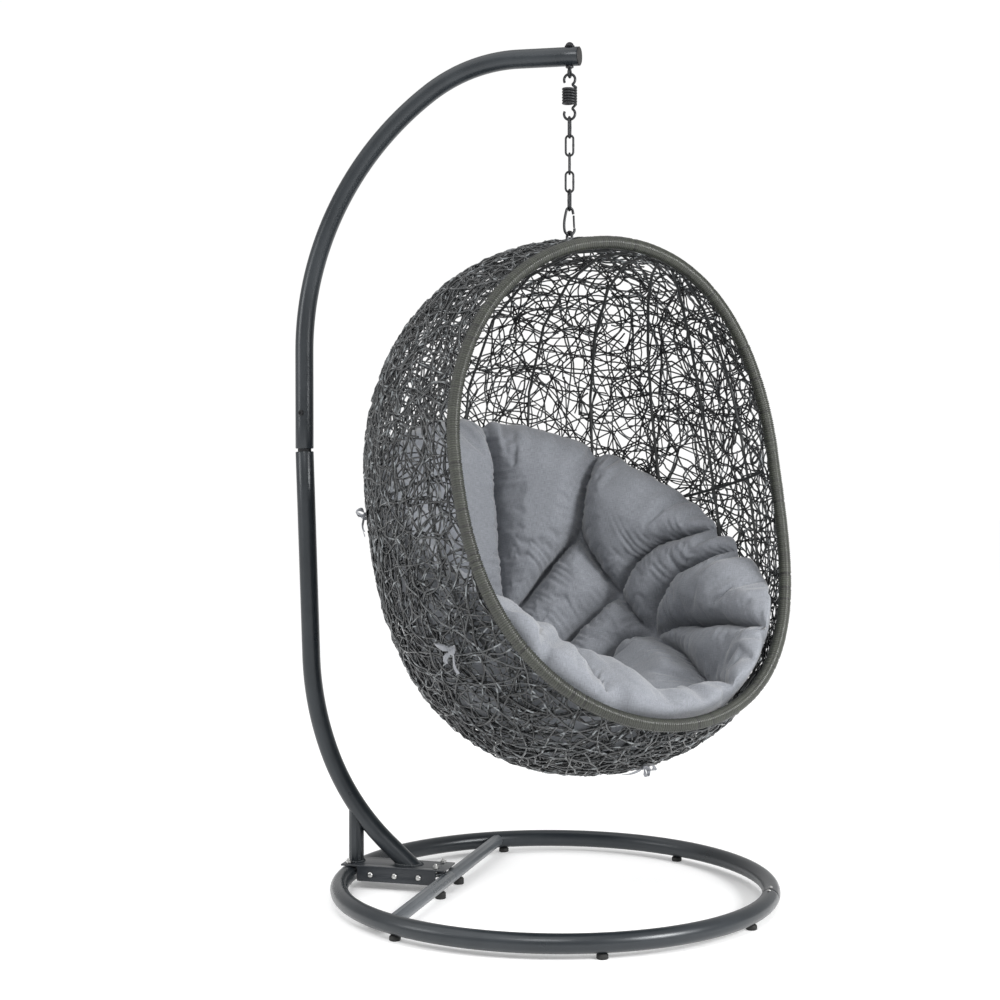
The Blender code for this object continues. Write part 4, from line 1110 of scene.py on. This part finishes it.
def make_floor():
    floor_mat = Nodes("pale_floor", 0.55)
    speckle = floor_mat.noise(2.5, 3.0)
    floor_mat.shader.inputs["Specular IOR Level"].default_value = 0.0
    floor_mat.shader.inputs["Emission Color"].default_value = (1.0, 1.0, 1.0, 1.0)
    floor_mat.shader.inputs["Emission Strength"].default_value = 0.20
    floor_mat.finish(floor_mat.blend(speckle, (0.88, 0.88, 0.88), (0.91, 0.91, 0.91)))
    bpy.ops.mesh.primitive_plane_add(size=60, location=(0, 0, 0))
    floor = bpy.context.active_object
    floor.name = "floor"
    floor.data.materials.append(floor_mat.mat)


def make_world():
    """A white backdrop that lights the scene less than it shows."""
    world = bpy.data.worlds.new("studio")
    world.use_nodes = True
    tree = world.node_tree
    backdrop = tree.nodes["Background"]
    backdrop.inputs["Color"].default_value = (1.0, 1.0, 1.0, 1.0)
    seen = tree.nodes.new("ShaderNodeLightPath")
    level = tree.nodes.new("ShaderNodeMapRange")
    level.inputs["To Min"].default_value = 0.60
    level.inputs["To Max"].default_value = 1.02
    tree.links.new(seen.outputs["Is Camera Ray"], level.inputs["Value"])
    tree.links.new(level.outputs["Result"], backdrop.inputs["Strength"])
    bpy.context.scene.world = world
    bpy.context.scene.view_settings.view_transform = "Standard"


def place_aimed(data, place, target):
    """A lamp or camera at a place, turned to a target."""
    obj = linked(data.name, data)
    obj.location = place
    obj.rotation_euler = (Vector(target) - Vector(place)).to_track_quat("-Z", "Y").to_euler()
    return obj


def make_lights():
    """Broad light from above, and a soft box at the left, the front and the right."""
    sky = bpy.data.lights.new("broad_overhead", "SUN")
    sky.angle = math.radians(70)
    sky.energy = 1.1
    place_aimed(sky, (0.0, 0.0, 0.0), (0.35, 0.35, -1.0))
    for name, place, target, size, power in SOFT_BOXES:
        box = bpy.data.lights.new(name, "AREA")
        box.shape = "SQUARE"
        box.size = size
        box.energy = power
        place_aimed(box, place, target)


def make_camera():
    data = bpy.data.cameras.new("camera")
    data.lens = 62.0
    data.sensor_width = 36.0
    bpy.context.scene.camera = place_aimed(data, CAMERA_AT, CAMERA_TARGET)


# ---------------- build
make_camera()
make_floor()
make_world()
make_lights()
paint_cad_nodes()
make_ring()
make_mast()
make_spring()
make_chain()
make_carabiner()
make_rim_wrap()
make_weave()
make_pad()
make_ties()
